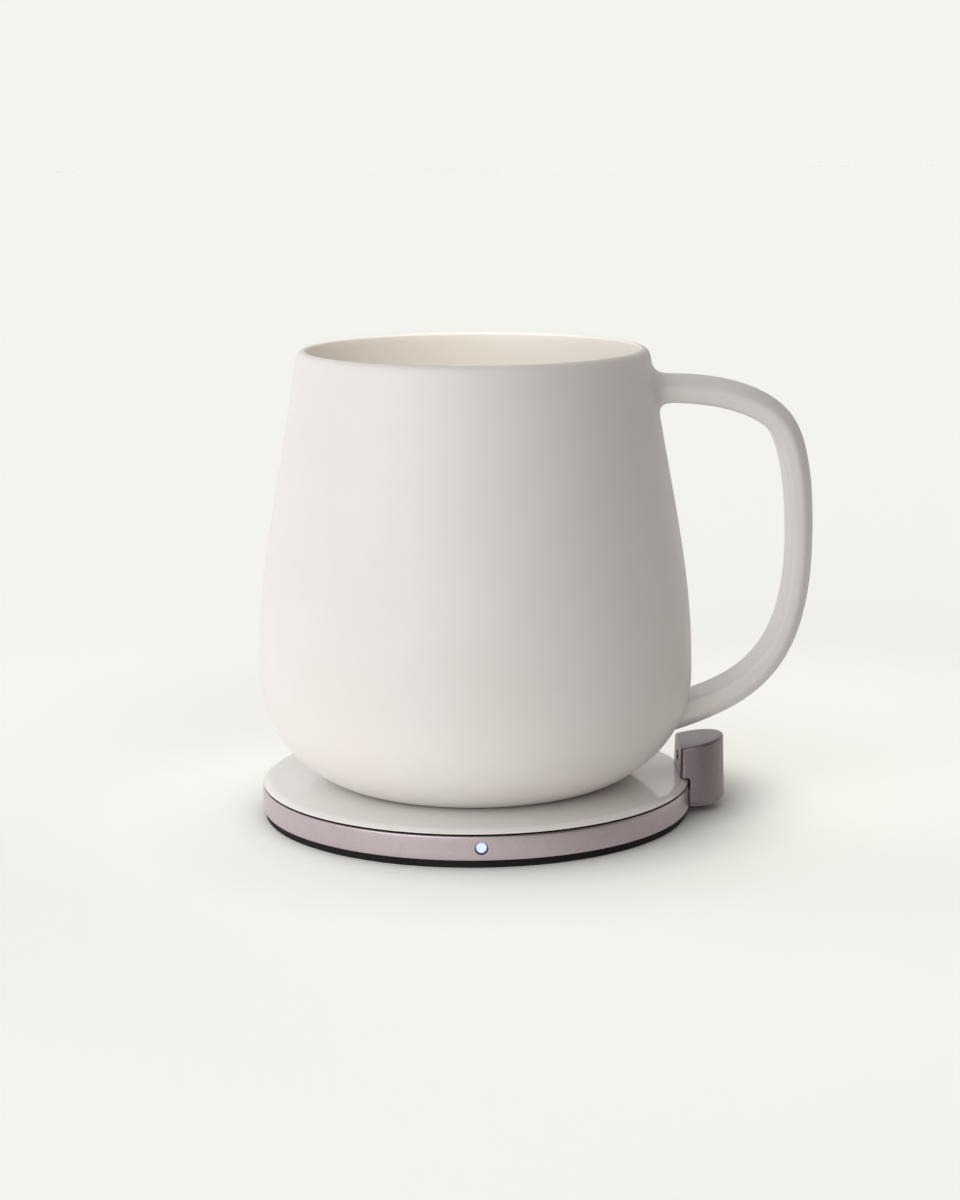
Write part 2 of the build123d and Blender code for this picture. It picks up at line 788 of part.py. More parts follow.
# Sensor window: dark oblong window, seated from inside on the step in the post's flat wall
with BuildPart() as sensor_window:
    with BuildSketch(Plane.YZ.offset(window_level_x + window_recess)):
        with Locations((0, window_middle)):
            SlotOverall(window_width - 2 * screw_gap, window_height - 2 * screw_gap)
    extrude(amount=window_nose)
    with BuildSketch(Plane.YZ.offset(window_step_x)):
        with Locations((0, window_middle)):
            SlotOverall(window_width + 2 * window_lip - fit_gap, window_height + 2 * window_lip - fit_gap)
    extrude(amount=window_lip_depth)
keep(sensor_window.part, "sensor_window")

# Post neck: a collar through the ring's window, with ears inside the ring for the post's screws
flange_back = ring_inner - neck_flange_depth
collar_width = neck_width - 2 * neck_clear
collar_height = neck_window_height - 2 * neck_clear
with BuildPart() as post_neck:
    with BuildSketch(Plane.YZ.offset(flange_back)):
        with Locations((0, chamber_middle)):
            Rectangle(neck_width + 2 * neck_ear, chamber_top - tray_top - 2 * neck_clear)
    extrude(amount=neck_flange_depth)
    with BuildSketch(Plane.XY):
        Circle(ring_inner - screw_gap)
    extrude(amount=mug_top, mode=Mode.INTERSECT)
    with BuildSketch(Plane.YZ.offset(flange_back)):
        with Locations((0, chamber_middle)):
            Rectangle(collar_width, collar_height)
    extrude(amount=web_radius - neck_clear - flange_back)
    with BuildSketch(Plane.YZ.offset(flange_back)):
        with Locations((0, chamber_middle)):
            Rectangle(collar_width - 2 * neck_wall, collar_height - 2 * neck_wall)
    extrude(amount=web_radius - flange_back, mode=Mode.SUBTRACT)
    with BuildSketch(Plane.YZ.offset(flange_back)):
        with Locations((-post_screw_spread, chamber_middle), (post_screw_spread, chamber_middle)):
            Circle(post_screw_radius + screw_gap)
    extrude(amount=neck_flange_depth, mode=Mode.SUBTRACT)
keep(post_neck.part, "post_neck")

# Post screws: from inside the ring through the neck's ears and the ring into the post
head_front = flange_back - post_screw_head_height
post_screw_length = web_radius + post_boss_height - screw_gap - head_front
post_screws = []
for side in (-post_screw_spread, post_screw_spread):
    seat = Plane(origin=(head_front, side, chamber_middle), z_dir=(-1, 0, 0))
    post_screws.append(
        screw(
            seat,
            post_screw_radius,
            post_screw_length,
            post_screw_head_radius,
            post_screw_head_height,
            False,
        )
    )
keep(Compound(children=post_screws), "post_screws")

# Post cap: the cover under the post, with two ribs that grip the upright board's lower edge
board_face = web_radius + post_board_setback
with BuildPart() as post_cap:
    with BuildSketch(Plane.XY.offset(post_bottom)):
        add(post_outline(post_wall + neck_clear))
        make_face()
        Circle(web_radius + neck_clear, mode=Mode.SUBTRACT)
    extrude(amount=cap_thickness)
    with BuildSketch(Plane.XY.offset(cap_top)):
        with Locations((board_face - screw_gap, 0)):
            Rectangle(cap_rib, cap_rib_length, align=(Align.MAX, Align.CENTER))
        with Locations((board_face + post_board_thickness + screw_gap, 0)):
            Rectangle(cap_rib, cap_rib_length, align=(Align.MIN, Align.CENTER))
    extrude(amount=cap_rib_height)
    with BuildSketch(Plane.XY.offset(post_bottom)):
        with Locations((cap_boss_x, 0)):
            Circle(cap_head_hole)
    extrude(amount=cap_screw_head_height, taper=countersink, mode=Mode.SUBTRACT)
    with BuildSketch(Plane.XY.offset(post_bottom)):
        with Locations((cap_boss_x, 0)):
            Circle(cap_screw_radius + screw_gap)
    extrude(amount=cap_thickness, mode=Mode.SUBTRACT)
keep(post_cap.part, "post_cap")

# Cap screw: one from below, into the housing's boss
seat = Plane(origin=(cap_boss_x, 0, post_bottom), z_dir=(0, 0, -1))
cap_screw = screw(
    seat,
    cap_screw_radius,
    cap_screw_length,
    cap_screw_head_radius,
    cap_screw_head_height,
    True,
)
keep(cap_screw, "cap_screw")

# Post board: the upright board, standing on the cap between its ribs
slope_rise = (board_face - post_flat) * tan(radians(post_slope))
post_board_top = post_top - post_roof / cos(radians(post_slope)) + slope_rise - post_board_clear
with BuildPart() as post_board:
    with BuildSketch(Plane.XY.offset(cap_top)):
        with Locations((board_face + post_board_thickness / 2, 0)):
            Rectangle(post_board_thickness, post_board_width)
    extrude(amount=post_board_top - cap_top)
keep(post_board.part, "post_board")

# Infrared sensor: a small can on the board, behind the window
with BuildPart() as infrared_sensor:
    with BuildSketch(Plane.YZ.offset(board_face)):
        with Locations((0, window_middle)):
            Rectangle(ir_width, ir_height)
    extrude(amount=-ir_depth)
    fillet(infrared_sensor.edges().group_by(Axis.X)[0], radius=part_round)
    with BuildSketch(Plane.YZ.offset(board_face - ir_depth)):
        with Locations((0, window_middle)):
            Circle(ir_lens_radius)
    extrude(amount=-ir_lens_height)
keep(infrared_sensor.part, "infrared_sensor")

# Post cable: a flat cable from the main board through the neck and up the post's board
cable_low = board_top + cable_thickness / 2
cable_up = board_face - cable_thickness / 2
with BuildPart() as post_cable:
    with BuildLine(Plane.XZ) as cable_route:
        FilletPolyline(
            (board_outer - cable_width / 2, cable_low),
            (board_outer - cable_bend, cable_low),
            (flange_back - cable_bend / 2, chamber_middle),
            (cable_up, chamber_middle),
            (cable_up, chamber_middle + cable_climb),
            radius=cable_bend,
        )
    with BuildSketch(Plane(origin=cable_route.line @ 0, x_dir=(0, 1, 0), z_dir=cable_route.line % 0)):
        Rectangle(cable_width, cable_thickness)
    sweep()
keep(post_cable.part, "post_cable")

# Mug body: the cup's outer form, swelling from the foot to the belly and closing in to the rim
foot_rise = foot_lead * sin(radians(foot_angle))
foot_run = foot_lead * cos(radians(foot_angle))
rim_inner = rim_radius - lip_thickness
lip_peak = rim_inner + lip_inner_round
lip_inner_level = mug_top - lip_inner_round
lip_reach = lip_inner_round * cos(radians(45))
lip_run = lip_arm_share * (rim_radius - lip_peak)
lip_rise = lip_arm_share * lip_height
belly_inner = belly_radius - cup_wall
with BuildLine() as outer_curves:
    outer_low = Bezier(
        (foot_radius, plate_top),
        (foot_radius + foot_run, plate_top + foot_rise),
        (belly_radius, belly_level - belly_low_arm),
        (belly_radius, belly_level),
    )
    outer_high = Bezier(
        (belly_radius, belly_level),
        (belly_radius, belly_level + belly_high_arm),
        (rim_radius + rim_lean_share * rim_arm, lip_level - rim_arm),
        (rim_radius, lip_level),
    )


def wall_radius(level):
    """Radius of the cup's outer face at this height."""
    curve = outer_low if level < belly_level else outer_high
    low, high = 0.0, 1.0
    for _ in range(40):
        middle = (low + high) / 2
        if (curve @ middle).Y < level:
            low = middle
        else:
            high = middle
    return (curve @ low).X


def on_wall(edge):
    """True for an edge that lies on the cup's outer face and isn't a full circle or a seam."""
    if edge.is_closed or edge.center().X < rim_inner:
        return False
    spots = [edge @ share for share in (0.1, 0.5, 0.9)]
    return all(abs(hypot(spot.X, spot.Y) - wall_radius(spot.Z)) < fit_gap / 3 for spot in spots)


# The handle's centreline, and a strap along it with a flat inner side and a crowned outer side
handle_high = mug_top - handle_drop
low_thickness = handle_thickness * handle_section_shares[-1][1]
handle_low = post_tip_top + handle_clearance + low_thickness / 2
centre_points = [(wall_radius(handle_high) - handle_root_depth, 0, handle_high)]
for reach_share, height_share in handle_path_shares:
    level = handle_low + height_share * (handle_high - handle_low)
    centre_points.append((belly_radius + reach_share * handle_reach, 0, level))
low_end = handle_low - handle_root_fall_share * handle_root_depth
centre_points.append((wall_radius(handle_low) - handle_root_depth, 0, low_end))
centreline = Spline(*centre_points)
half_width = handle_width / 2
with BuildPart() as handle:
    for along, thickness_share in handle_section_shares:
        thickness = handle_thickness * thickness_share
        shoulder = thickness * (handle_shoulder_share - 1 / 2)
        spot = Plane(origin=centreline @ along, x_dir=(0, 1, 0), z_dir=centreline % along)
        with BuildSketch(spot) as section:
            with BuildLine():
                Polyline(
                    (half_width, shoulder),
                    (half_width, -thickness / 2),
                    (-half_width, -thickness / 2),
                    (-half_width, shoulder),
                )
                ThreePointArc((-half_width, shoulder), (0, thickness / 2), (half_width, shoulder))
            make_face()
            fillet(section.vertices().group_by(Axis.Y)[0], radius=handle_inner_round)
            fillet(section.vertices().group_by(Axis.Y)[-1], radius=handle_shoulder_round)
    loft()

# The cup turned about its axis, the handle joined to it with soft roots, then the inside and the recess
with BuildPart() as mug_body:
    with BuildSketch(radial_plane(180)):
        with BuildLine():
            add(outer_curves.line)
            Bezier(
                (rim_radius, lip_level),
                (rim_radius - rim_lean_share * lip_rise, lip_level + lip_rise),
                (lip_peak + lip_run, mug_top),
                (lip_peak, mug_top),
            )
            Polyline((lip_peak, mug_top), (0, mug_top), (0, plate_top), (foot_radius, plate_top))
        make_face()
    revolve(axis=Axis.Z)
    add(handle.part)
    roots = mug_body.edges().filter_by(on_wall)
    fillet(roots.filter_by_position(Axis.Z, belly_level, mug_top), radius=handle_high_round)
    roots = mug_body.edges().filter_by(on_wall)
    fillet(roots.filter_by_position(Axis.Z, plate_top, belly_level), radius=handle_low_round)
    with BuildSketch(radial_plane(180)):
        with BuildLine():
            Polyline(
                (0, cup_bottom),
                (0, mug_top + overrun),
                (lip_peak, mug_top + overrun),
                (lip_peak, mug_top),
            )
            ThreePointArc(
                (lip_peak, mug_top),
                (lip_peak - lip_reach, lip_inner_level + lip_reach),
                (rim_inner, lip_inner_level),
            )
            Bezier(
                (rim_inner, lip_inner_level),
                (rim_inner + rim_lean_share * rim_arm, lip_inner_level - rim_arm),
                (belly_inner, belly_level + belly_high_arm),
                (belly_inner, belly_level),
            )
            Bezier(
                (belly_inner, belly_level),
                (belly_inner, belly_level - inner_low_arm),
                (floor_arm, cup_bottom),
                (0, cup_bottom),
            )
        make_face()
    revolve(axis=Axis.Z, mode=Mode.SUBTRACT)
    with BuildSketch(Plane.XY.offset(plate_top)):
        Circle(recess_radius)
    extrude(amount=recess_depth, mode=Mode.SUBTRACT)
    foot_face = mug_body.faces().filter_by(Plane.XY).sort_by(Axis.Z)[0]
    fillet(foot_face.edges().sort_by(SortBy.RADIUS)[0], radius=recess_round)
keep(mug_body.part, "mug_body")

# Heating disc: the metal disc that the pad's field heats, against the cup's floor
with BuildPart() as heating_disc:
    with BuildSketch(Plane.XY.offset(recess_top)):
        Circle(recess_radius - cover_inset)
    extrude(amount=-heating_thickness)
keep(heating_disc.part, "heating_disc")

# Insulation disc: felt that keeps the heat in the cup
with BuildPart() as insulation_disc:
    with BuildSketch(Plane.XY.offset(recess_top - heating_thickness)):
        Circle(recess_radius - felt_inset)
    extrude(amount=-felt_thickness)
keep(insulation_disc.part, "insulation_disc")

# Base cover: closes the recess, a little above the foot
cover_bottom = plate_top + cover_gap
with BuildPart() as base_cover:
    with BuildSketch(Plane.XY.offset(cover_bottom)):
        Circle(recess_radius - cover_inset)
    extrude(amount=cover_thickness)
    chamfer(base_cover.edges().group_by(Axis.Z)[0], length=cover_chamfer)
keep(base_cover.part, "base_cover")

# Base seal: soft ring between the cover and the recess's wall
seal_width = cover_inset * seal_squeeze_share
seal_inner = recess_radius - (cover_inset + seal_width) / 2
with BuildPart() as base_seal:
    with BuildSketch(Plane.XY.offset(cover_bottom + cover_chamfer)):
        Circle(seal_inner + seal_width)
        Circle(seal_inner, mode=Mode.SUBTRACT)
    extrude(amount=seal_height)
keep(base_seal.part, "base_seal")
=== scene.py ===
from math import asin, atan2, cos, degrees, hypot, pi, radians, sin, sqrt

import bmesh
import bpy
import numpy as np
from mathutils import Matrix, Vector


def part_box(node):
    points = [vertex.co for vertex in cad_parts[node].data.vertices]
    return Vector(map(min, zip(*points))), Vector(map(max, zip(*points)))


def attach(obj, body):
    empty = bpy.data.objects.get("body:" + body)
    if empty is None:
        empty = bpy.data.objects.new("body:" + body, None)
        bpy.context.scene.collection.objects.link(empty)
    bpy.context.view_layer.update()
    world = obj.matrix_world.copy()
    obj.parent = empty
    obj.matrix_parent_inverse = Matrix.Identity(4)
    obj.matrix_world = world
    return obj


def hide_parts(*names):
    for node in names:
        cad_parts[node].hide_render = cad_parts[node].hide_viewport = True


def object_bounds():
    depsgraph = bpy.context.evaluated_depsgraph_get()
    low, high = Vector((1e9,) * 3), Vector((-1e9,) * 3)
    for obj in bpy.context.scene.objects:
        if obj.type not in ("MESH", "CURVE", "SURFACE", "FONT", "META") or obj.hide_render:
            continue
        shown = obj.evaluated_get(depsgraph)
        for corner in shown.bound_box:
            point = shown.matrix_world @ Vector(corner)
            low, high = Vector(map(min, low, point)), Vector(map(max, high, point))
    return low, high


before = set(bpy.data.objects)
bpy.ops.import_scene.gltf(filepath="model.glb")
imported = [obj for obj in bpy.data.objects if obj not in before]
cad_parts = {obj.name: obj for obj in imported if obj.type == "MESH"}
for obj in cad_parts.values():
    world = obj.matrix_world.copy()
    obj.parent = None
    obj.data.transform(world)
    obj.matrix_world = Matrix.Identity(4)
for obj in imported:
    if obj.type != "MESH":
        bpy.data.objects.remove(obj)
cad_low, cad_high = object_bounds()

# Self heating mug on its heating pad. Lengths are in metres in the frame's own axes: +Z up, +X to the
# handle and the post, -Y to the status light.

MM = 0.001
TURN_STEPS = 288
RING_STEPS = 360
HOLE_END_STEPS = 12
CREASE = radians(32)
# Points that lie closer than this are one point
SAME_POINT = 1e-7


# ---------------------------------------------------------------- mesh helpers


def arc(centre, radius, start, end, steps):
    """Points of an arc in the (radius, height) plane, from one angle in degrees to another."""
    angles = [radians(start + (end - start) * k / steps) for k in range(steps + 1)]
    return [(centre[0] + radius * cos(a), centre[1] + radius * sin(a)) for a in angles]


def bezier(first, second, third, fourth, steps):
    """Points of a cubic curve in the (radius, height) plane."""
    corners = (first, second, third, fourth)
    points = []
    for k in range(steps + 1):
        t = k / steps
        weights = ((1 - t) ** 3, 3 * t * (1 - t) ** 2, 3 * t * t * (1 - t), t ** 3)
        points.append(tuple(sum(w * p[i] for w, p in zip(weights, corners)) for i in (0, 1)))
    return points


def straight(first, last, steps):
    """Evenly spaced points of a line in the (radius, height) plane."""
    return [
        (first[0] + (last[0] - first[0]) * k / steps, first[1] + (last[1] - first[1]) * k / steps)
        for k in range(steps + 1)
    ]


def chain(*runs):
    """Runs of points joined end to end, with each shared point kept once."""
    points = []
    for run in runs:
        for point in run:
            if not points or hypot(point[0] - points[-1][0], point[1] - points[-1][1]) > SAME_POINT:
                points.append(point)
    return points


def band_profile(inner, outer, low, high):
    """Section of a plain ring, in the (radius, height) plane."""
    return [(inner, low), (outer, low), (outer, high), (inner, high)]


def turn(mesh, profile, steps=TURN_STEPS):
    """Turn a closed profile of (radius, height) points about the z axis into a bmesh."""
    angles = [2 * pi * k / steps for k in range(steps)]
    rings = []
    for radius, height in profile:
        if radius < SAME_POINT:
            rings.append([mesh.verts.new((0, 0, height))])
        else:
            rings.append([mesh.verts.new((radius * cos(a), radius * sin(a), height)) for a in angles])
    for low, high in zip(rings, rings[1:] + rings[:1]):
        for k in range(steps):
            corners = [low[k % len(low)], low[(k + 1) % len(low)]]
            corners += [high[(k + 1) % len(high)], high[k % len(high)]]
            unique = []
            for corner in corners:
                if corner not in unique:
                    unique.append(corner)
            if len(unique) > 2:
                mesh.faces.new(unique)


def tube(mesh, rings):
    """Skin a list of closed rings of points with quads, and close both ends."""
    rows = [[mesh.verts.new(point) for point in ring] for ring in rings]
    count = len(rows[0])
    for low, high in zip(rows, rows[1:]):
        for k in range(count):
            mesh.faces.new([low[k], low[(k + 1) % count], high[(k + 1) % count], high[k]])
    mesh.faces.new(list(reversed(rows[0])))
    mesh.faces.new(rows[-1])


def smooth(data):
    """Shade a mesh smooth, except at edges sharper than the crease."""
    data.shade_smooth()
    data.set_sharp_from_angle(angle=CREASE)


def to_object(mesh, name):
    """Turn a bmesh into a smooth-shaded object."""
    bmesh.ops.recalc_face_normals(mesh, faces=mesh.faces)
    data = bpy.data.meshes.new(name)
    mesh.to_mesh(data)
    mesh.free()
    smooth(data)
    piece = bpy.data.objects.new(name, data)
    bpy.context.scene.collection.objects.link(piece)
    return piece


def carve(piece, cutter):
    """Cut one object out of another, and drop the cutter."""
    modifier = piece.modifiers.new("cut", "BOOLEAN")
    modifier.operation = "DIFFERENCE"
    modifier.solver = "EXACT"
    modifier.object = cutter
    graph = bpy.context.evaluated_depsgraph_get()
    made = bpy.data.meshes.new_from_object(piece.evaluated_get(graph))
    piece.modifiers.clear()
    spare = piece.data
    piece.data = made
    made.name = piece.name
    bpy.data.meshes.remove(spare)
    bpy.data.objects.remove(cutter)
    smooth(made)


def settle(piece, body, slot, surface, *nodes):
    """Give a piece its finish, its body and the nodes that it stands for. The slot is not used."""
    piece.data.materials.clear()
    piece.data.materials.append(surface)
    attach(piece, body)
    if nodes:
        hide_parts(*nodes)
    return piece


def slot_prism(name, width, height, depth, level, near):
    """Round-ended oblong prism that lies along +Y, for cutting."""
    outline = arc(((width - height) / 2, 0), height / 2, -90, 90, HOLE_END_STEPS)
    outline += [(-x, -y) for x, y in outline]
    mesh = bmesh.new()
    tube(mesh, [[(x, reach, level + up) for x, up in outline] for reach in (near, near + depth)])
    return to_object(mesh, name)


# ------------------------------------------------------------ material helpers


def linear(red, green, blue):
    """Colour written as whole screen values from 0 to 255, as linear light."""
    shares = [value / 255 for value in (red, green, blue)]
    return tuple(s / 12.92 if s < 0.04045 else ((s + 0.055) / 1.055) ** 2.4 for s in shares) + (1,)


def add_node(tree, kind, inputs=(), **settings):
    """Add a node to a tree, set its settings, and link or set its inputs."""
    node = tree.nodes.new(kind)
    for name, value in settings.items():
        setattr(node, name, value)
    for name, value in dict(inputs).items():
        if isinstance(value, bpy.types.NodeSocket):
            tree.links.new(value, node.inputs[name])
        else:
            node.inputs[name].default_value = value
    return node


class Surface:
    """A node material on the object's own coordinates, with its shader at the end."""

    def __init__(self, name, roughness, metallic=0.0, **sockets):
        self.material = bpy.data.materials.new(name)
        self.material.use_nodes = True
        self.tree = self.material.node_tree
        self.shader = self.tree.nodes["Principled BSDF"]
        self.shader.inputs["Roughness"].default_value = roughness
        self.shader.inputs["Metallic"].default_value = metallic
        for socket, value in sockets.items():
            self.shader.inputs[socket.replace("_", " ")].default_value = value
        self.place = self.tree.nodes.new("ShaderNodeTexCoord").outputs["Object"]

    def node(self, kind, inputs=(), **settings):
        """Add a node to this material."""
        return add_node(self.tree, kind, inputs, **settings)

    def stretched(self, scales):
        """The object's coordinates, scaled apart along the three axes."""
        node = self.node("ShaderNodeMapping", {"Vector": self.place, "Scale": scales})
        return node.outputs["Vector"]

    def noise(self, scale, detail=3.0, roughness=0.55, vector=None, distortion=0.0):
        """Smooth noise, whose scale is in waves per metre."""
        node = self.node(
            "ShaderNodeTexNoise",
            {
                "Vector": vector or self.place,
                "Scale": scale,
                "Detail": detail,
                "Roughness": roughness,
                "Distortion": distortion,
            },
        )
        return node.outputs["Fac"]

    def cells(self, scale, feature="F1"):
        """Distance inside a field of cells, whose scale is in cells per metre."""
        node = self.node("ShaderNodeTexVoronoi", {"Vector": self.place, "Scale": scale}, feature=feature)
        return node.outputs["Distance"]

    def rescale(self, value, low, high, new_low=0.0, new_high=1.0, shape="LINEAR"):
        """Map one range of values on to another, and clamp it."""
        ranges = {"From Min": low, "From Max": high, "To Min": new_low, "To Max": new_high}
        node = self.node("ShaderNodeMapRange", {"Value": value, **ranges}, interpolation_type=shape)
        return node.outputs["Result"]

    def combine(self, operation, first, second):
        """One arithmetic step."""
        return self.node("ShaderNodeMath", {0: first, 1: second}, operation=operation).outputs["Value"]

    def combine_vectors(self, operation, first, second, output="Vector"):
        """One arithmetic step on vectors."""
        node = self.node("ShaderNodeVectorMath", {0: first, 1: second}, operation=operation)
        return node.outputs[output]

    def distance(self, centre):
        """Distance from a point of the object."""
        return self.combine_vectors("DISTANCE", self.place, centre, "Value")

    def along(self, axis):
        """The object's coordinate along one axis."""
        return self.node("ShaderNodeSeparateXYZ", {"Vector": self.place}).outputs[axis]

    def blend(self, share, first, second):
        """Mix two colours."""
        return self.node("ShaderNodeMix", {0: share, 6: first, 7: second}, data_type="RGBA").outputs[2]

    def two_tone(self, value, span, first, second):
        """Go from one colour to another while a value crosses a span."""
        return self.blend(self.rescale(value, *span), first, second)

    def colour(self, value):
        """Lead a colour to the shader."""
        self.tree.links.new(value, self.shader.inputs["Base Color"])

    def rough(self, value, span, smoothest, roughest):
        """Lead a roughness to the shader, which grows while a value crosses a span."""
        roughness = self.rescale(value, *span, smoothest, roughest)
        self.tree.links.new(roughness, self.shader.inputs["Roughness"])

    def bump(self, *layers):
        """Lead heights to the shader's normal, each with its depth in metres."""
        normal = None
        for height, depth in layers:
            node = self.node("ShaderNodeBump", {"Height": height, "Distance": depth, "Strength": 1.0})
            if normal is not None:
                self.tree.links.new(normal, node.inputs["Normal"])
            normal = node.outputs["Normal"]
        self.tree.links.new(normal, self.shader.inputs["Normal"])


# Spans of a noise's values over which a colour or a roughness changes
WIDE_SPAN = (0.3, 0.7)
NARROW_SPAN = (0.35, 0.65)
# How far the roughness of moulded stuff and of brushed metal goes below and above its own value
MOULDED_SWING = (-0.06, 0.08)
BRUSHED_SWING = (-0.08, 0.1)


def moulded(name, colour, shade, roughness, grain, depth, metallic=0.0, **sockets):
    """Plain moulded or pressed stuff: cloudy colour, uneven sheen and a fine grain."""
    surface = Surface(name, roughness, metallic, **sockets)
    clouds = surface.noise(120.0, 4.0)
    surface.colour(surface.two_tone(clouds, NARROW_SPAN, linear(*colour), linear(*shade)))
    surface.rough(surface.noise(300.0), WIDE_SPAN, *(roughness + swing for swing in MOULDED_SWING))
    surface.bump((surface.noise(grain, 2.0), depth))
    return surface


def brushed(name, colour, shade, roughness, scales, depth, metallic=1.0):
    """Metal with fine lines along one axis."""
    surface = Surface(name, roughness, metallic)
    lines = surface.noise(1.0, 4.0, 0.7, surface.stretched(scales))
    surface.colour(surface.two_tone(lines, WIDE_SPAN, linear(*colour), linear(*shade)))
    surface.rough(lines, WIDE_SPAN, *(roughness + swing for swing in BRUSHED_SWING))
    surface.bump((lines, depth))
    return surface


# ---------------------------------------------------------------------- camera

# The camera's place and aim, fitted to the pad's and the mug's outlines
CAMERA_PLACE = Vector((0.00107, -0.55393, 0.15244))
CAMERA_DOWN = radians(10.986)
CAMERA_ROLL = radians(-0.405)
CAMERA_ORBIT = radians(-1.3)
CAMERA_LENS = 80.94
CAMERA_SENSOR = 36.0

ahead = Vector((0, cos(CAMERA_DOWN), -sin(CAMERA_DOWN)))
across = Vector((1, 0, 0))
above = across.cross(ahead)
right = cos(CAMERA_ROLL) * across + sin(CAMERA_ROLL) * above
upward = cos(CAMERA_ROLL) * above - sin(CAMERA_ROLL) * across
aim = Matrix((right, upward, -ahead)).transposed()
camera = bpy.data.objects.new("camera", bpy.data.cameras.new("camera"))
camera.data.lens = CAMERA_LENS
camera.data.sensor_width = CAMERA_SENSOR
orbit = Matrix.Rotation(CAMERA_ORBIT, 4, "Z")
camera.matrix_world = orbit @ Matrix.Translation(CAMERA_PLACE) @ aim.to_4x4()
bpy.context.scene.collection.objects.link(camera)
bpy.context.scene.camera = camera
bpy.context.scene.view_settings.view_transform = "Standard"

# ------------------------------------------------------------------------- sky

PAPER = linear(243, 244, 238)
CLEAR = Vector((1.0, 1.0, 1.0))
WARM = Vector((1.0, 0.93, 0.86))
# Soft lamps of the studio: bearing from +X and height above the horizon, both in degrees, level and tint
LAMPS = (
    (90, 10, 0.28, CLEAR),
    (135, 10, 0.96, CLEAR),
    (225, 10, 1.72, CLEAR),
    (270, 10, 0.52, WARM),
    (38, 22, 0.55, WARM),
    (180, 30, 0.12, CLEAR),
    (225, 30, 0.52, CLEAR),
    (90, 50, 0.22, CLEAR),
)
# Power of the cosine by which a lamp's light falls off round its direction
LAMP_TIGHT = 4.0
SKY_SAMPLES = 128


def direction(bearing, height):
    """Direction at a bearing from +X and a height above the horizon, both in degrees."""
    toward = Vector((cos(radians(bearing)), sin(radians(bearing)), 0)) * cos(radians(height))
    toward.z = sin(radians(height))
    return toward


def sky_on_floor():
    """Light of all the lamps on the level floor, for each colour."""
    spread = (np.arange(SKY_SAMPLES) + 0.5) / SKY_SAMPLES
    rise, reach, bearing = np.sqrt(spread)[:, None], np.sqrt(1 - spread)[:, None], 2 * pi * spread[None, :]
    light = Vector((0, 0, 0))
    for azimuth, elevation, level, tint in LAMPS:
        lamp = direction(azimuth, elevation)
        facing = lamp.x * reach * np.cos(bearing) + lamp.y * reach * np.sin(bearing) + lamp.z * rise
        light += tint * level * float((np.maximum(0.0, facing) ** LAMP_TIGHT).mean())
    return light


world = bpy.data.worlds.new("studio")
bpy.context.scene.world = world
world.use_nodes = True
sky = world.node_tree
sky.nodes.clear()
looking = add_node(sky, "ShaderNodeTexCoord").outputs["Generated"]
total = (0, 0, 0)
for azimuth, elevation, level, tint in LAMPS:
    facing = {0: looking, 1: direction(azimuth, elevation)}
    share = add_node(sky, "ShaderNodeVectorMath", facing, operation="DOT_PRODUCT").outputs["Value"]
    for operation, number in (("MAXIMUM", 0.0), ("POWER", LAMP_TIGHT)):
        share = add_node(sky, "ShaderNodeMath", {0: share, 1: number}, operation=operation).outputs["Value"]
    added = {0: share, 1: tint * level, 2: total}
    total = add_node(sky, "ShaderNodeVectorMath", added, operation="MULTIPLY_ADD").outputs["Vector"]
glow = add_node(sky, "ShaderNodeBackground", {"Color": total}).outputs["Background"]
plain = add_node(sky, "ShaderNodeBackground", {"Color": PAPER}).outputs["Background"]
path = add_node(sky, "ShaderNodeLightPath").outputs["Is Camera Ray"]
either = add_node(sky, "ShaderNodeMixShader", {"Fac": path, 1: glow, 2: plain}).outputs["Shader"]
add_node(sky, "ShaderNodeOutputWorld", {"Surface": either})

# ----------------------------------------------------------------------- floor

FLOOR_SIDE = 8.0
# Painted shade and painted light on the paper: soft patches, darker or lighter, with centre, flat radius,
# width of the soft edge, and change. They change what the camera sees and also what the floor throws back.
FLOOR_PAINTED_SHADE_AND_LIGHT = (
    (0.0065, -0.0023, 0.0108, 0.0508, -0.90),
    (0.0394, 0.0132, 0.0046, 0.0294, -0.64),
    (0.0396, -0.0442, 0.0156, 0.1323, 0.198),
    (0.0228, 0.0048, 0.0576, 0.1339, -0.153),
    (-0.0006, -0.0117, 0.0434, 0.0337, -0.115),
    (0.0641, 0.0618, 0.0, 0.1312, 0.357),
)
# Share of light that the floor throws back at the left and at the right, and where that changes along X;
# the lower share at the right is painted shade
FLOOR_BOUNCE = (0.92, 0.89, 0.85, 1)
FLOOR_SHADED_BOUNCE = (0.48, 0.465, 0.445, 1)
FLOOR_FADE = (0.005, 0.14)
# A place at the right front that throws back less, as painted shade: its centre, where its soft edge starts
# and ends, and what it takes off
BOUNCE_SHADE_PLACE = (0.062, -0.040, 0)
BOUNCE_SHADE_REACH = (0.015, 0.055)
BOUNCE_SHADE_SHARE = 0.4
# Glow of the floor, which lights the part and isn't seen: its level behind the part and where it grows
# along Y, then its level at the front left, the centre there, and where its soft edge starts and ends
BACK_GLOW = 0.50
BACK_FADE = (-0.15, 0.15)
NEAR_GLOW = 0.24
NEAR_GLOW_PLACE = (-0.034, -0.036, 0)
NEAR_GLOW_REACH = (0.03, 0.11)

floor_mesh = bmesh.new()
bmesh.ops.create_grid(floor_mesh, x_segments=1, y_segments=1, size=FLOOR_SIDE / 2)
floor = to_object(floor_mesh, "floor")
floor.location.z = cad_low.z
ground = Surface("paper", 0.9, Specular_IOR_Level=0.0)
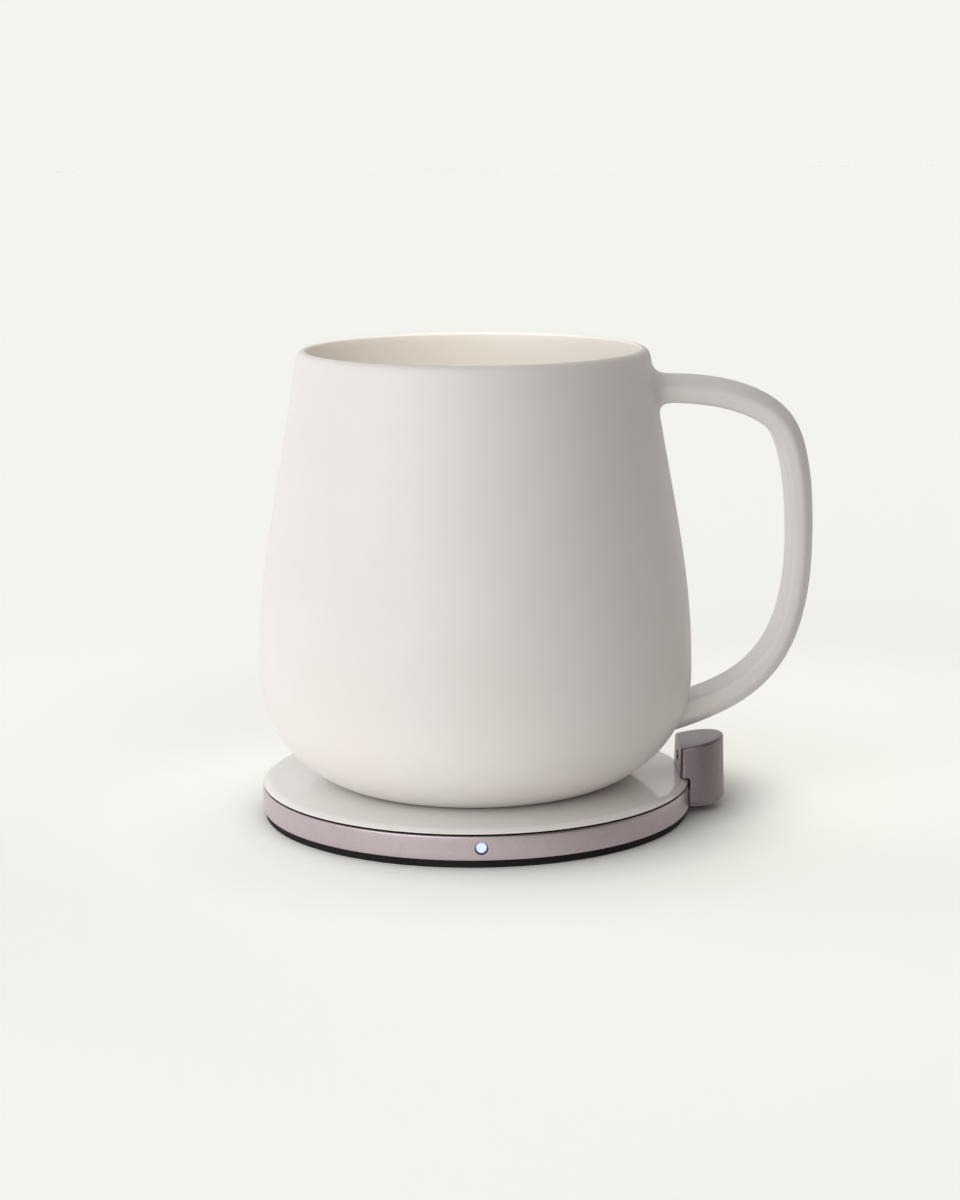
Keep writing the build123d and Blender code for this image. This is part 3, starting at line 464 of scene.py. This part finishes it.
# Divided by the sky's light on it, so that the paper comes out in its own colour
lit = tuple(c / light for c, light in zip(PAPER, sky_on_floor()))
# Painted shade and painted light of the paper, as a factor on its colour
painted_shade_and_light = 1.0
for centre_x, centre_y, flat, edge, change in FLOOR_PAINTED_SHADE_AND_LIGHT:
    away = ground.distance((centre_x, centre_y, 0))
    painted_shade_and_light = ground.combine("ADD", ground.rescale(away, flat, flat + edge, change, 0.0, "SMOOTHSTEP"), painted_shade_and_light)
shown = ground.combine_vectors("MULTIPLY", lit, painted_shade_and_light)
# Painted shade on the light that the floor throws back, at the right front
bounce_shade = ground.rescale(ground.distance(BOUNCE_SHADE_PLACE), *BOUNCE_SHADE_REACH, BOUNCE_SHADE_SHARE, 0.0)
# Painted shade: the floor throws back less light towards the right
thrown = ground.two_tone(ground.along("X"), FLOOR_FADE, FLOOR_BOUNCE, FLOOR_SHADED_BOUNCE)
thrown = ground.combine_vectors("MULTIPLY", thrown, ground.combine("SUBTRACT", painted_shade_and_light, bounce_shade))
seen = ground.node("ShaderNodeLightPath").outputs["Is Camera Ray"]
ground.colour(ground.blend(seen, thrown, shown))
behind = ground.rescale(ground.along("Y"), *BACK_FADE, 0.0, BACK_GLOW)
near = ground.rescale(ground.distance(NEAR_GLOW_PLACE), *NEAR_GLOW_REACH, NEAR_GLOW, 0.0)
glowing = ground.rescale(seen, 0.0, 1.0, ground.combine("ADD", behind, near), 0.0)
ground.shader.inputs["Emission Color"].default_value = FLOOR_BOUNCE
ground.tree.links.new(glowing, ground.shader.inputs["Emission Strength"])
floor.data.materials.append(ground.material)

# -------------------------------------------------------------------- cup lamp

# A narrow lamp, high at the front right, that shines into the cup and lights nothing but the mug
CUP_LAMP_BEARING = 297
CUP_LAMP_HEIGHT = 60
CUP_LAMP_REACH = 0.6
CUP_LAMP_AIM = Vector((-0.008, 0.030, 0.095))
CUP_LAMP_RADIUS = 0.05
CUP_LAMP_BLEND = 1.0
CUP_LAMP_SIZE = 0.015
CUP_LAMP_ENERGY = 8.0
CUP_LAMP_COLOUR = (1.0, 0.97, 0.93)
toward_lamp = direction(CUP_LAMP_BEARING, CUP_LAMP_HEIGHT)
cup_lamp = bpy.data.objects.new("cup_lamp", bpy.data.lights.new("cup_lamp", "SPOT"))
cup_lamp.data.energy = CUP_LAMP_ENERGY
cup_lamp.data.color = CUP_LAMP_COLOUR
cup_lamp.data.spot_size = 2 * atan2(CUP_LAMP_RADIUS, CUP_LAMP_REACH)
cup_lamp.data.spot_blend = CUP_LAMP_BLEND
cup_lamp.data.shadow_soft_size = CUP_LAMP_SIZE
cup_lamp.location = CUP_LAMP_AIM + toward_lamp * CUP_LAMP_REACH
cup_lamp.rotation_euler = toward_lamp.to_track_quat("Z", "Y").to_euler()
bpy.context.scene.collection.objects.link(cup_lamp)

# ------------------------------------------------------------------- materials

# Levels between which the bare foot gives way to the glaze
GLAZE_SPAN = (7.7 * MM, 8.3 * MM)
# Faces that turn to the axis are painted lighter, as painted light on the cup's inside, but not past these
# radii, where they are the handle's
INSIDE_LEAN = (-0.01, 0.01)
INSIDE_RADII = (44 * MM, 46 * MM)
# Distances inside a flake of mica over which its colour and its roughness change
FLAKE_SPAN = (0.1, 0.7)
LENS_GLOW = 0.75

ceramic = Surface("glazed_stoneware", 0.42, Specular_IOR_Level=0.45, Coat_Weight=0.12, Coat_Roughness=0.3)
clouds = ceramic.two_tone(
    ceramic.noise(45.0, 4.0), NARROW_SPAN, linear(243, 240, 238), linear(241, 237, 234)
)
specks = ceramic.rescale(ceramic.cells(420.0), 0.0, 0.045, 0.35, 0.0)
speckled = ceramic.blend(specks, clouds, linear(176, 164, 150))
outer_normal = ceramic.node("ShaderNodeNewGeometry").outputs["Normal"]
level_place = ceramic.combine_vectors("MULTIPLY", ceramic.place, (1, 1, 0))
radius_now = ceramic.node("ShaderNodeVectorMath", {0: level_place}, operation="LENGTH").outputs["Value"]
facing = ceramic.combine_vectors("DOT_PRODUCT", level_place, outer_normal, "Value")
turned_in = ceramic.rescale(facing, *INSIDE_LEAN, 1.0, 0.0)
within = ceramic.rescale(radius_now, *INSIDE_RADII, 1.0, 0.0)
in_cup = ceramic.combine("MULTIPLY", turned_in, within)
# Painted light: the cup's inside is made lighter than the glaze outside
painted_light_inside = ceramic.blend(in_cup, speckled, linear(252, 247, 240))
foot_share = ceramic.rescale(ceramic.along("Z"), *GLAZE_SPAN, 1.0, 0.0)
ceramic.colour(ceramic.blend(foot_share, painted_light_inside, linear(196, 186, 176)))
ceramic.rough(ceramic.noise(160.0, 3.0), WIDE_SPAN, 0.36, 0.48)
ceramic.bump((ceramic.noise(260.0, 2.0), 0.02 * MM), (ceramic.noise(2600.0, 2.0), 0.004 * MM))

metal = Surface("mauve_blasted_metal", 0.3, 0.94)
grain = metal.noise(5200.0, 2.0, 0.6)
mauve = metal.two_tone(metal.noise(90.0, 4.0), WIDE_SPAN, linear(200, 188, 193), linear(193, 182, 187))
metal.colour(metal.blend(metal.rescale(grain, 0.45, 0.72, 0.0, 0.35), mauve, linear(222, 208, 213)))
metal.rough(metal.noise(700.0, 3.0), WIDE_SPAN, 0.26, 0.36)
metal.bump((grain, 0.012 * MM))

# A darker copy of the ring's mauve metal for the post: painted shade, as the post stands in the mug's
# shadow
shaded_post_metal = brushed(
    "mauve_brushed_metal_painted_shade", (157, 146, 150), (143, 133, 137), 0.36, (5600, 5600, 900), 0.005 * MM, 0.92
)

plate_white = Surface("plate_white", 0.13, Specular_IOR_Level=0.5, Coat_Weight=0.5, Coat_Roughness=0.05)
whites = (linear(245, 243, 240), linear(243, 241, 237))
plate_white.colour(plate_white.two_tone(plate_white.noise(60.0, 4.0), WIDE_SPAN, *whites))
plate_white.rough(plate_white.noise(220.0, 4.0), (0.3, 0.75), 0.10, 0.20)
plate_white.bump((plate_white.noise(900.0, 2.0), 0.002 * MM))

rubber = moulded(
    "black_rubber", (17, 16, 17), (24, 23, 24), 0.78, 4200.0, 0.02 * MM, Specular_IOR_Level=0.25
)
silicone = moulded("white_silicone", (214, 211, 205), (202, 198, 190), 0.55, 2600.0, 0.01 * MM)
dark_plastic = moulded("dark_plastic", (46, 46, 48), (38, 38, 40), 0.5, 3600.0, 0.014 * MM)
cover_plastic = moulded("cover_plastic", (206, 201, 196), (196, 191, 186), 0.48, 3200.0, 0.014 * MM)
ferrite = moulded("ferrite", (70, 70, 74), (54, 54, 58), 0.6, 5200.0, 0.02 * MM, 0.15)
tan_ceramic = moulded("capacitor_tan", (178, 150, 114), (160, 132, 98), 0.42, 4200.0, 0.01 * MM)
lamp_white = moulded("lamp_white", (236, 236, 228), (222, 222, 210), 0.25, 2400.0, 0.004 * MM)
window_black = moulded(
    "window_black", (26, 26, 30), (18, 18, 22), 0.12, 1800.0, 0.002 * MM, Coat_Weight=0.5
)
steel = brushed("plain_steel", (196, 196, 198), (168, 168, 171), 0.3, (900, 5200, 5200), 0.004 * MM)
heating_steel = brushed(
    "heating_steel", (178, 177, 176), (150, 149, 148), 0.34, (260, 6000, 800), 0.005 * MM
)
copper = brushed("coil_copper", (206, 132, 92), (176, 98, 62), 0.26, (1400, 1400, 6000), 0.006 * MM)

mica = Surface("mica", 0.35, 0.1, Coat_Weight=0.3)
flakes = mica.cells(320.0)
mica.colour(mica.two_tone(flakes, FLAKE_SPAN, linear(196, 180, 152), linear(160, 142, 112)))
mica.rough(flakes, FLAKE_SPAN, 0.28, 0.5)
mica.bump((flakes, 0.01 * MM))

felt = Surface("felt", 0.95, Sheen_Weight=0.5)
fibres = felt.noise(1500.0, 6.0, 0.75, distortion=2.5)
felt.colour(felt.two_tone(fibres, NARROW_SPAN, linear(206, 200, 190), linear(170, 162, 150)))
felt.rough(fibres, WIDE_SPAN, 0.85, 1.0)
felt.bump((fibres, 0.08 * MM))

board_green = Surface("circuit_board", 0.4, Coat_Weight=0.35, Coat_Roughness=0.15)
tracks = board_green.rescale(board_green.cells(420.0, "DISTANCE_TO_EDGE"), 0.04, 0.07, 1.0, 0.0)
mask = board_green.two_tone(board_green.noise(300.0), WIDE_SPAN, linear(24, 92, 54), linear(18, 78, 46))
board_green.colour(board_green.blend(tracks, mask, linear(66, 138, 84)))
board_green.rough(board_green.noise(900.0), WIDE_SPAN, 0.32, 0.5)
board_green.bump((tracks, 0.02 * MM))

ribbon = Surface("ribbon_cable", 0.5)
stripes = ribbon.node(
    "ShaderNodeTexWave",
    {"Vector": ribbon.place, "Scale": 330.0, "Distortion": 0.4, "Detail": 1.0},
    bands_direction="Y",
).outputs["Fac"]
ribbon.colour(ribbon.two_tone(stripes, NARROW_SPAN, linear(214, 212, 204), linear(150, 146, 136)))
ribbon.rough(ribbon.noise(900.0), WIDE_SPAN, 0.42, 0.58)
ribbon.bump((stripes, 0.03 * MM))

lens = Surface("light_lens", 0.22, Coat_Weight=0.5)
lit_blue = lens.two_tone(lens.noise(900.0, 2.0), WIDE_SPAN, linear(196, 210, 255), linear(176, 194, 252))
lens.colour(lit_blue)
lens.tree.links.new(lit_blue, lens.shader.inputs["Emission Color"])
lens.shader.inputs["Emission Strength"].default_value = LENS_GLOW
lens.rough(lens.noise(1400.0), WIDE_SPAN, 0.18, 0.3)

# ------------------------------------------------------------------ cup's form

BELLY_HEIGHT = 22.82 * MM
RIM_RADIUS = 36.55 * MM
LIP_THICKNESS = 2.2 * MM
LIP_HEIGHT = 2.2 * MM
LIP_INNER_ROUND = 0.45 * MM
LIP_ARM = 0.6
CUP_WALL = 3.4 * MM
FOOT_RADIUS = 28.1 * MM
FOOT_LEAD = 4.0 * MM
FOOT_ANGLE = radians(9.7)
BELLY_LOW_ARM = 15.5 * MM
BELLY_HIGH_ARM = 22.5 * MM
RIM_ARM = 28.7 * MM
RIM_LEAN = 0.152
CUP_FLOOR = 4.0 * MM
FLOOR_ARM = 33.0 * MM
INNER_LOW_ARM = 10.5 * MM
RECESS_RADIUS = 24.5 * MM
RECESS_DEPTH = 3.2 * MM
FOOT_ROUND = 0.5 * MM
# Mesh steps along the runs of the profile
OUTER_LOW_STEPS = 40
OUTER_HIGH_STEPS = 64
LIP_STEPS = 12
LIP_ROUND_STEPS = 6
INNER_HIGH_STEPS = 56
INNER_LOW_STEPS = 40
RECESS_TOP_STEPS = 6
RECESS_SIDE_STEPS = 3
FOOT_ROUND_STEPS = 5
FOOT_STEPS = 3

ring_low, ring_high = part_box("outer_ring")
plate_low, plate_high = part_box("top_plate")
mug_low, mug_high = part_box("mug_body")
pad_radius = -ring_low.x
plate_top = plate_high.z
mug_top = mug_high.z
belly_radius = -mug_low.x
belly_level = plate_top + BELLY_HEIGHT
lip_level = mug_top - LIP_HEIGHT
rim_inner = RIM_RADIUS - LIP_THICKNESS
lip_peak = rim_inner + LIP_INNER_ROUND
lip_inner_level = mug_top - LIP_INNER_ROUND
belly_inner = belly_radius - CUP_WALL
recess_top = plate_top + RECESS_DEPTH
cup_bottom = recess_top + CUP_FLOOR
foot_turn = RECESS_RADIUS + FOOT_ROUND
outer_low = bezier(
    (FOOT_RADIUS, plate_top),
    (FOOT_RADIUS + FOOT_LEAD * cos(FOOT_ANGLE), plate_top + FOOT_LEAD * sin(FOOT_ANGLE)),
    (belly_radius, belly_level - BELLY_LOW_ARM),
    (belly_radius, belly_level),
    OUTER_LOW_STEPS,
)
outer_high = bezier(
    (belly_radius, belly_level),
    (belly_radius, belly_level + BELLY_HIGH_ARM),
    (RIM_RADIUS + RIM_LEAN * RIM_ARM, lip_level - RIM_ARM),
    (RIM_RADIUS, lip_level),
    OUTER_HIGH_STEPS,
)
lip = bezier(
    (RIM_RADIUS, lip_level),
    (RIM_RADIUS - RIM_LEAN * LIP_ARM * LIP_HEIGHT, lip_level + LIP_ARM * LIP_HEIGHT),
    (lip_peak + LIP_ARM * (RIM_RADIUS - lip_peak), mug_top),
    (lip_peak, mug_top),
    LIP_STEPS,
)
inner_high = bezier(
    (rim_inner, lip_inner_level),
    (rim_inner + RIM_LEAN * RIM_ARM, lip_inner_level - RIM_ARM),
    (belly_inner, belly_level + BELLY_HIGH_ARM),
    (belly_inner, belly_level),
    INNER_HIGH_STEPS,
)
inner_low = bezier(
    (belly_inner, belly_level),
    (belly_inner, belly_level - INNER_LOW_ARM),
    (FLOOR_ARM, cup_bottom),
    (0, cup_bottom),
    INNER_LOW_STEPS,
)
outer_wall = chain(outer_low, outer_high)
wall_heights = np.array([point[1] for point in outer_wall])
wall_radii = np.array([point[0] for point in outer_wall])


def wall_radius(level):
    """Radius of the cup's outer face at this height."""
    return float(np.interp(level, wall_heights, wall_radii))


mug = bmesh.new()
turn(
    mug,
    chain(
        outer_wall,
        lip,
        arc((lip_peak, lip_inner_level), LIP_INNER_ROUND, 90, 180, LIP_ROUND_STEPS),
        inner_high,
        inner_low,
        straight((0, recess_top), (RECESS_RADIUS, recess_top), RECESS_TOP_STEPS),
        straight((RECESS_RADIUS, recess_top), (RECESS_RADIUS, plate_top + FOOT_ROUND), RECESS_SIDE_STEPS),
        arc((foot_turn, plate_top + FOOT_ROUND), FOOT_ROUND, 180, 270, FOOT_ROUND_STEPS),
        # The last point is the first one of the outer wall
        straight((foot_turn, plate_top), (FOOT_RADIUS, plate_top), FOOT_STEPS)[:-1],
    ),
)

# ---------------------------------------------------------------------- handle

HANDLE_REACH = 25.03 * MM
HANDLE_DROP = 8.5 * MM
HANDLE_THICKNESS = 5.6 * MM
LOW_ROOT_LEVEL = 20.67 * MM
HANDLE_WIDTH = 12.0 * MM
SHOULDER_SHARE = 0.56
SHOULDER_ROUND = 1.7 * MM
INNER_ROUND = 1.0 * MM
ROOT_DEPTH = 7.0 * MM
ROOT_FALL_SHARE = 0.33
HIGH_ROUND = 3.0 * MM
LOW_ROUND = 1.4 * MM
# Points of the handle's line, as shares of its reach out from the belly and of its rise from the low root
PATH_SHARES = (
    (0.208, 0.988),
    (0.490, 0.956),
    (0.722, 0.895),
    (0.853, 0.776),
    (0.905, 0.578),
    (0.853, 0.333),
    (0.686, 0.179),
    (0.447, 0.087),
    (0.220, 0.039),
)
# Places along the handle as shares of its length, and its thickness there as shares of HANDLE_THICKNESS
PLACE_SHARES = (0.0, 0.08, 0.18, 0.28, 0.36, 0.44, 0.56, 0.68, 0.78, 0.88, 0.95, 1.0)
THICKNESS_SHARES = (1.0, 1.0, 1.0, 1.02, 0.99, 0.94, 0.89, 0.93, 0.99, 1.08, 1.15, 1.18)
THICKNESS_DEGREE = 7
# Places on the flat inner side as shares of half its width, and mesh steps round the section
FLAT_SHARES = (0.3, 0.6)
INNER_ROUND_STEPS = 5
FLANK_STEPS = 3
SHOULDER_STEPS = 7
CROWN_STEPS = 8
# Mesh steps along the handle and along each fillet
HANDLE_STATIONS = 110
ROOT_STATIONS = 9
# Shares of the handle's length between which each root meets the cup, from inside its wall to outside
HIGH_ROOT_SPAN = (0.0, 0.3)
LOW_ROOT_SPAN = (1.0, 0.7)
HALVINGS = 40
# Small steps by which the handle's run and the wall's lean are measured
RUN_SHARE = 0.01
LEAN_STEP = 0.2 * MM
# How deep under the cup's face a fillet lands, and how deep the handle's end goes
LANDING_SINK = 0.004 * MM
END_SINK = 1.2 * MM

handle_high = mug_top - HANDLE_DROP
handle_low = LOW_ROOT_LEVEL
handle_rise = handle_high - handle_low
knots = [(wall_radius(handle_high) - ROOT_DEPTH, handle_high)]
for reach_share, rise_share in PATH_SHARES:
    knots.append((belly_radius + reach_share * HANDLE_REACH, handle_low + rise_share * handle_rise))
knots.append((wall_radius(handle_low) - ROOT_DEPTH, handle_low - ROOT_FALL_SHARE * ROOT_DEPTH))
knots = np.array(knots)


def natural_spline(points):
    """Cubic curve through points, with parameters from chord lengths and straight ends."""
    chords = np.hypot(*(points[1:] - points[:-1]).T)
    places = np.concatenate(([0.0], np.cumsum(chords))) / chords.sum()
    steps = np.diff(places)
    count = len(points)
    system = np.eye(count)
    sides = np.zeros((count, 2))
    for k in range(1, count - 1):
        system[k, k - 1 : k + 2] = steps[k - 1], 2 * (steps[k - 1] + steps[k]), steps[k]
        rise_after = (points[k + 1] - points[k]) / steps[k]
        rise_before = (points[k] - points[k - 1]) / steps[k - 1]
        sides[k] = 6 * (rise_after - rise_before)
    bends = np.linalg.solve(system, sides)

    def at(share):
        """Place and direction of the curve at a share of its length."""
        k = int(np.clip(np.searchsorted(places, share) - 1, 0, count - 2))
        step = steps[k]
        before, after = places[k + 1] - share, share - places[k]
        start_pull = points[k] / step - bends[k] * step / 6
        end_pull = points[k + 1] / step - bends[k + 1] * step / 6
        place = (
            bends[k] * before ** 3 / (6 * step)
            + bends[k + 1] * after ** 3 / (6 * step)
            + start_pull * before
            + end_pull * after
        )
        slope = (
            -bends[k] * before ** 2 / (2 * step)
            + bends[k + 1] * after ** 2 / (2 * step)
            - start_pull
            + end_pull
        )
        return place, slope / np.hypot(*slope)

    return at


handle_line = natural_spline(knots)
thickness_at = np.polynomial.Polynomial.fit(PLACE_SHARES, THICKNESS_SHARES, THICKNESS_DEGREE)


def handle_outline(thickness):
    """Handle's section: flat inner side, upright flanks, soft shoulders and a crowned outer side."""
    half = HANDLE_WIDTH / 2
    shoulder = thickness * (SHOULDER_SHARE - 0.5)
    crown = thickness / 2 - shoulder
    crown_radius = (half ** 2 + crown ** 2) / (2 * crown)
    crown_centre = thickness / 2 - crown_radius
    round_x = half - SHOULDER_ROUND
    round_y = crown_centre + sqrt((crown_radius - SHOULDER_ROUND) ** 2 - round_x ** 2)
    meet = degrees(atan2(round_y - crown_centre, round_x))
    floor_y = -thickness / 2
    flank_y = floor_y + INNER_ROUND
    side = [(0.0, floor_y)] + [(half * share, floor_y) for share in FLAT_SHARES]
    side += arc((half - INNER_ROUND, flank_y), INNER_ROUND, -90, 0, INNER_ROUND_STEPS)
    side += straight((half, flank_y), (half, round_y), FLANK_STEPS)[1:-1]
    side += arc((round_x, round_y), SHOULDER_ROUND, 0, meet, SHOULDER_STEPS)
    side += arc((0, crown_centre), crown_radius, meet, 90, CROWN_STEPS)[1:-1]
    return side + [(0.0, thickness / 2)] + [(-x, y) for x, y in reversed(side[1:])]


def handle_point(share, index):
    """A point of the handle's skin, and the outward direction of the section there."""
    place, slope = handle_line(share)
    outline = handle_outline(HANDLE_THICKNESS * float(thickness_at(share)))
    wide, tall = outline[index]
    before, after = outline[index - 1], outline[(index + 1) % len(outline)]
    outward_flat = Vector((after[1] - before[1], before[0] - after[0])).normalized()
    upright = Vector((-slope[1], 0, slope[0]))
    point = Vector((place[0], 0, place[1])) + Vector((0, 1, 0)) * wide + upright * tall
    outward = Vector((0, 1, 0)) * outward_flat.x + upright * outward_flat.y
    return point, outward


def outside_wall(point):
    """How far a point lies outside the cup's outer face."""
    return hypot(point.x, point.y) - wall_radius(point.z)


def crossing(index, start, end):
    """Share of the handle's line at which one line of its skin meets the cup."""
    low, high = start, end
    for _ in range(HALVINGS):
        middle = (low + high) / 2
        if outside_wall(handle_point(middle, index)[0]) < 0:
            low = middle
        else:
            high = middle
    return high


def on_wall(point, sink):
    """The point moved level to a little under the cup's outer face."""
    radius = wall_radius(point.z) - sink
    flat = hypot(point.x, point.y)
    return Vector((point.x * radius / flat, point.y * radius / flat, point.z))


def wall_normal(point):
    """The cup's outward direction at a point of its face."""
    lean = (wall_radius(point.z + LEAN_STEP) - wall_radius(point.z - LEAN_STEP)) / (2 * LEAN_STEP)
    flat = hypot(point.x, point.y)
    return Vector((point.x / flat, point.y / flat, -lean)).normalized()


def root(index, start, end, size):
    """One line of the handle's root: it leaves the skin, bends in a soft fillet and ends on the cup."""
    share = crossing(index, start, end)
    corner, outward = handle_point(share, index)
    normal = wall_normal(corner)
    along = (outward - normal * outward.dot(normal)).normalized()
    run = (end - start) * RUN_SHARE
    span = (handle_point(share + run, index)[0] - corner).length
    lift = share + run * size / span
    leave = handle_point(lift, index)[0]
    landing = on_wall(corner + along * size, LANDING_SINK)
    points = [on_wall(landing, END_SINK)]
    for k in range(ROOT_STATIONS):
        t = k / ROOT_STATIONS
        points.append(landing * (1 - t) ** 2 + corner * (2 * t * (1 - t)) + leave * t * t)
    return points, lift


lines = []
for index in range(len(handle_outline(HANDLE_THICKNESS))):
    first, lift = root(index, *HIGH_ROOT_SPAN, HIGH_ROUND)
    last, fall = root(index, *LOW_ROOT_SPAN, LOW_ROUND)
    shares = [lift + (fall - lift) * k / HANDLE_STATIONS for k in range(HANDLE_STATIONS + 1)]
    lines.append(first + [handle_point(share, index)[0] for share in shares] + list(reversed(last)))
tube(mug, [[line[k] for line in lines] for k in range(len(lines[0]))])
cup = settle(to_object(mug, "mug"), "mug", "cream_ceramic", ceramic.material, "mug_body")
lit_by_cup_lamp = bpy.data.collections.new("lit_by_cup_lamp")
lit_by_cup_lamp.objects.link(cup)
cup_lamp.light_linking.receiver_collection = lit_by_cup_lamp

# ------------------------------------------------------------- mug's underside

COVER_CHAMFER = 0.3 * MM
COVER_STEPS = 4
# Gap between cover and seal, as a share of the room from the cover to the seal's outer edge
SEAL_GAP_SHARE = 0.1

cover_low, cover_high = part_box("base_cover")
cover_radius = cover_high.x
cover = bmesh.new()
turn(
    cover,
    chain(
        straight((0, cover_low.z), (cover_radius - COVER_CHAMFER, cover_low.z), COVER_STEPS),
        [(cover_radius, cover_low.z + COVER_CHAMFER), (cover_radius, cover_high.z), (0, cover_high.z)],
    ),
)
settle(to_object(cover, "cover"), "mug", "cover_plastic", cover_plastic.material, "base_cover")

seal_low, seal_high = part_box("base_seal")
seal_inner = cover_radius + (seal_high.x - cover_radius) * SEAL_GAP_SHARE
seal = bmesh.new()
turn(seal, band_profile(seal_inner, seal_high.x, seal_low.z, seal_high.z))
settle(to_object(seal, "seal"), "mug", "white_silicone", silicone.material, "base_seal")

# --------------------------------------------------------------------- the pad

RING_WALL = 1.8 * MM
RING_ROUND = 0.3 * MM
RING_EDGE_STEPS = 2
RING_ROUND_STEPS = 4
RING_FACE_STEPS = 4
LIGHT_HOLE = 1.35 * MM
# A round hole's cutter is a hair lower than wide, so that no two points of its outline meet
ROUND_SHARE = 0.999
INLET_GAP = 0.15 * MM
CUT_DEPTH = 4 * RING_WALL
PLATE_EDGE_RUN = 2.0 * MM
PLATE_EDGE_DROP = 0.65 * MM
PLATE_UNDER_STEPS = 3
PLATE_EDGE_STEPS = 10
PLATE_TOP_STEPS = 12

ring_inner = pad_radius - RING_WALL
ring_turn = pad_radius - RING_ROUND
turn_low = ring_low.z + RING_ROUND
turn_high = ring_high.z - RING_ROUND
ring = bmesh.new()
turn(
    ring,
    chain(
        straight((ring_inner, ring_low.z), (ring_turn, ring_low.z), RING_EDGE_STEPS),
        arc((ring_turn, turn_low), RING_ROUND, -90, 0, RING_ROUND_STEPS),
        straight((pad_radius, turn_low), (pad_radius, turn_high), RING_FACE_STEPS),
        arc((ring_turn, turn_high), RING_ROUND, 0, 90, RING_ROUND_STEPS),
        straight((ring_turn, ring_high.z), (ring_inner, ring_high.z), RING_EDGE_STEPS),
    ),
    RING_STEPS,
)
band = to_object(ring, "ring_band")
lens_low, lens_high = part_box("light_lens")
light_hole = slot_prism(
    "light_hole",
    2 * LIGHT_HOLE,
    2 * LIGHT_HOLE * ROUND_SHARE,
    CUT_DEPTH,
    (lens_low.z + lens_high.z) / 2,
    -pad_radius - RING_WALL,
)
carve(band, light_hole)
inlet_low, inlet_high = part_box("power_socket")
inlet_hole = slot_prism(
    "inlet_hole",
    inlet_high.x - inlet_low.x + 2 * INLET_GAP,
    inlet_high.z - inlet_low.z + 2 * INLET_GAP,
    CUT_DEPTH,
    (inlet_low.z + inlet_high.z) / 2,
    pad_radius - 3 * RING_WALL,
)
carve(band, inlet_hole)
settle(band, "pad", "mauve_metal", metal.material, "outer_ring")

gasket_low, gasket_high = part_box("plate_gasket")
plate_radius = plate_high.x
plate_flat = plate_radius - PLATE_EDGE_RUN
spigot_radius = ring_inner - INLET_GAP
edge_radius = (PLATE_EDGE_RUN ** 2 + PLATE_EDGE_DROP ** 2) / (2 * PLATE_EDGE_DROP)
edge_start = 90 - degrees(asin(PLATE_EDGE_RUN / edge_radius))
plate = bmesh.new()
turn(
    plate,
    chain(
        straight((0, plate_low.z), (spigot_radius, plate_low.z), PLATE_UNDER_STEPS),
        [(spigot_radius, gasket_high.z), (plate_radius, gasket_high.z)],
        arc((plate_flat, plate_top - edge_radius), edge_radius, edge_start, 90, PLATE_EDGE_STEPS),
        straight((plate_flat, plate_top), (0, plate_top), PLATE_TOP_STEPS),
    ),
)
settle(to_object(plate, "plate"), "pad", "white_plate", plate_white.material, "top_plate")

gasket = bmesh.new()
turn(gasket, band_profile(ring_inner, gasket_high.x, gasket_low.z, gasket_high.z))
settle(to_object(gasket, "gasket"), "pad", "black_rubber", rubber.material, "plate_gasket")

# ------------------------------------------------- finishes of the CAD's nodes

FINISHES = {
    "foot_mat": rubber,
    "base_tray": dark_plastic,
    "base_screws": steel,
    "ferrite_sheet": ferrite,
    "coil_carrier": dark_plastic,
    "induction_coil": copper,
    "coil_leads": copper,
    "heat_shield": mica,
    "plate_temperature_sensor": silicone,
    "sensor_lead": ribbon,
    "circuit_board": board_green,
    "board_screws": steel,
    "controller_chip": dark_plastic,
    "power_transistors": dark_plastic,
    "filter_capacitors": tan_ceramic,
    "power_inductor": ferrite,
    "status_led": lamp_white,
    "light_lens": lens,
    "light_sleeve": dark_plastic,
    "power_socket": steel,
    "socket_tongue": dark_plastic,
    "post_housing": shaded_post_metal,
    "sensor_window": window_black,
    "post_neck": dark_plastic,
    "post_screws": steel,
    "post_cap": dark_plastic,
    "cap_screw": steel,
    "post_board": board_green,
    "infrared_sensor": steel,
    "post_cable": ribbon,
    "heating_disc": heating_steel,
    "insulation_disc": felt,
}
for name, surface in FINISHES.items():
    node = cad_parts[name]
    node.data.materials.clear()
    node.data.materials.append(surface.material)
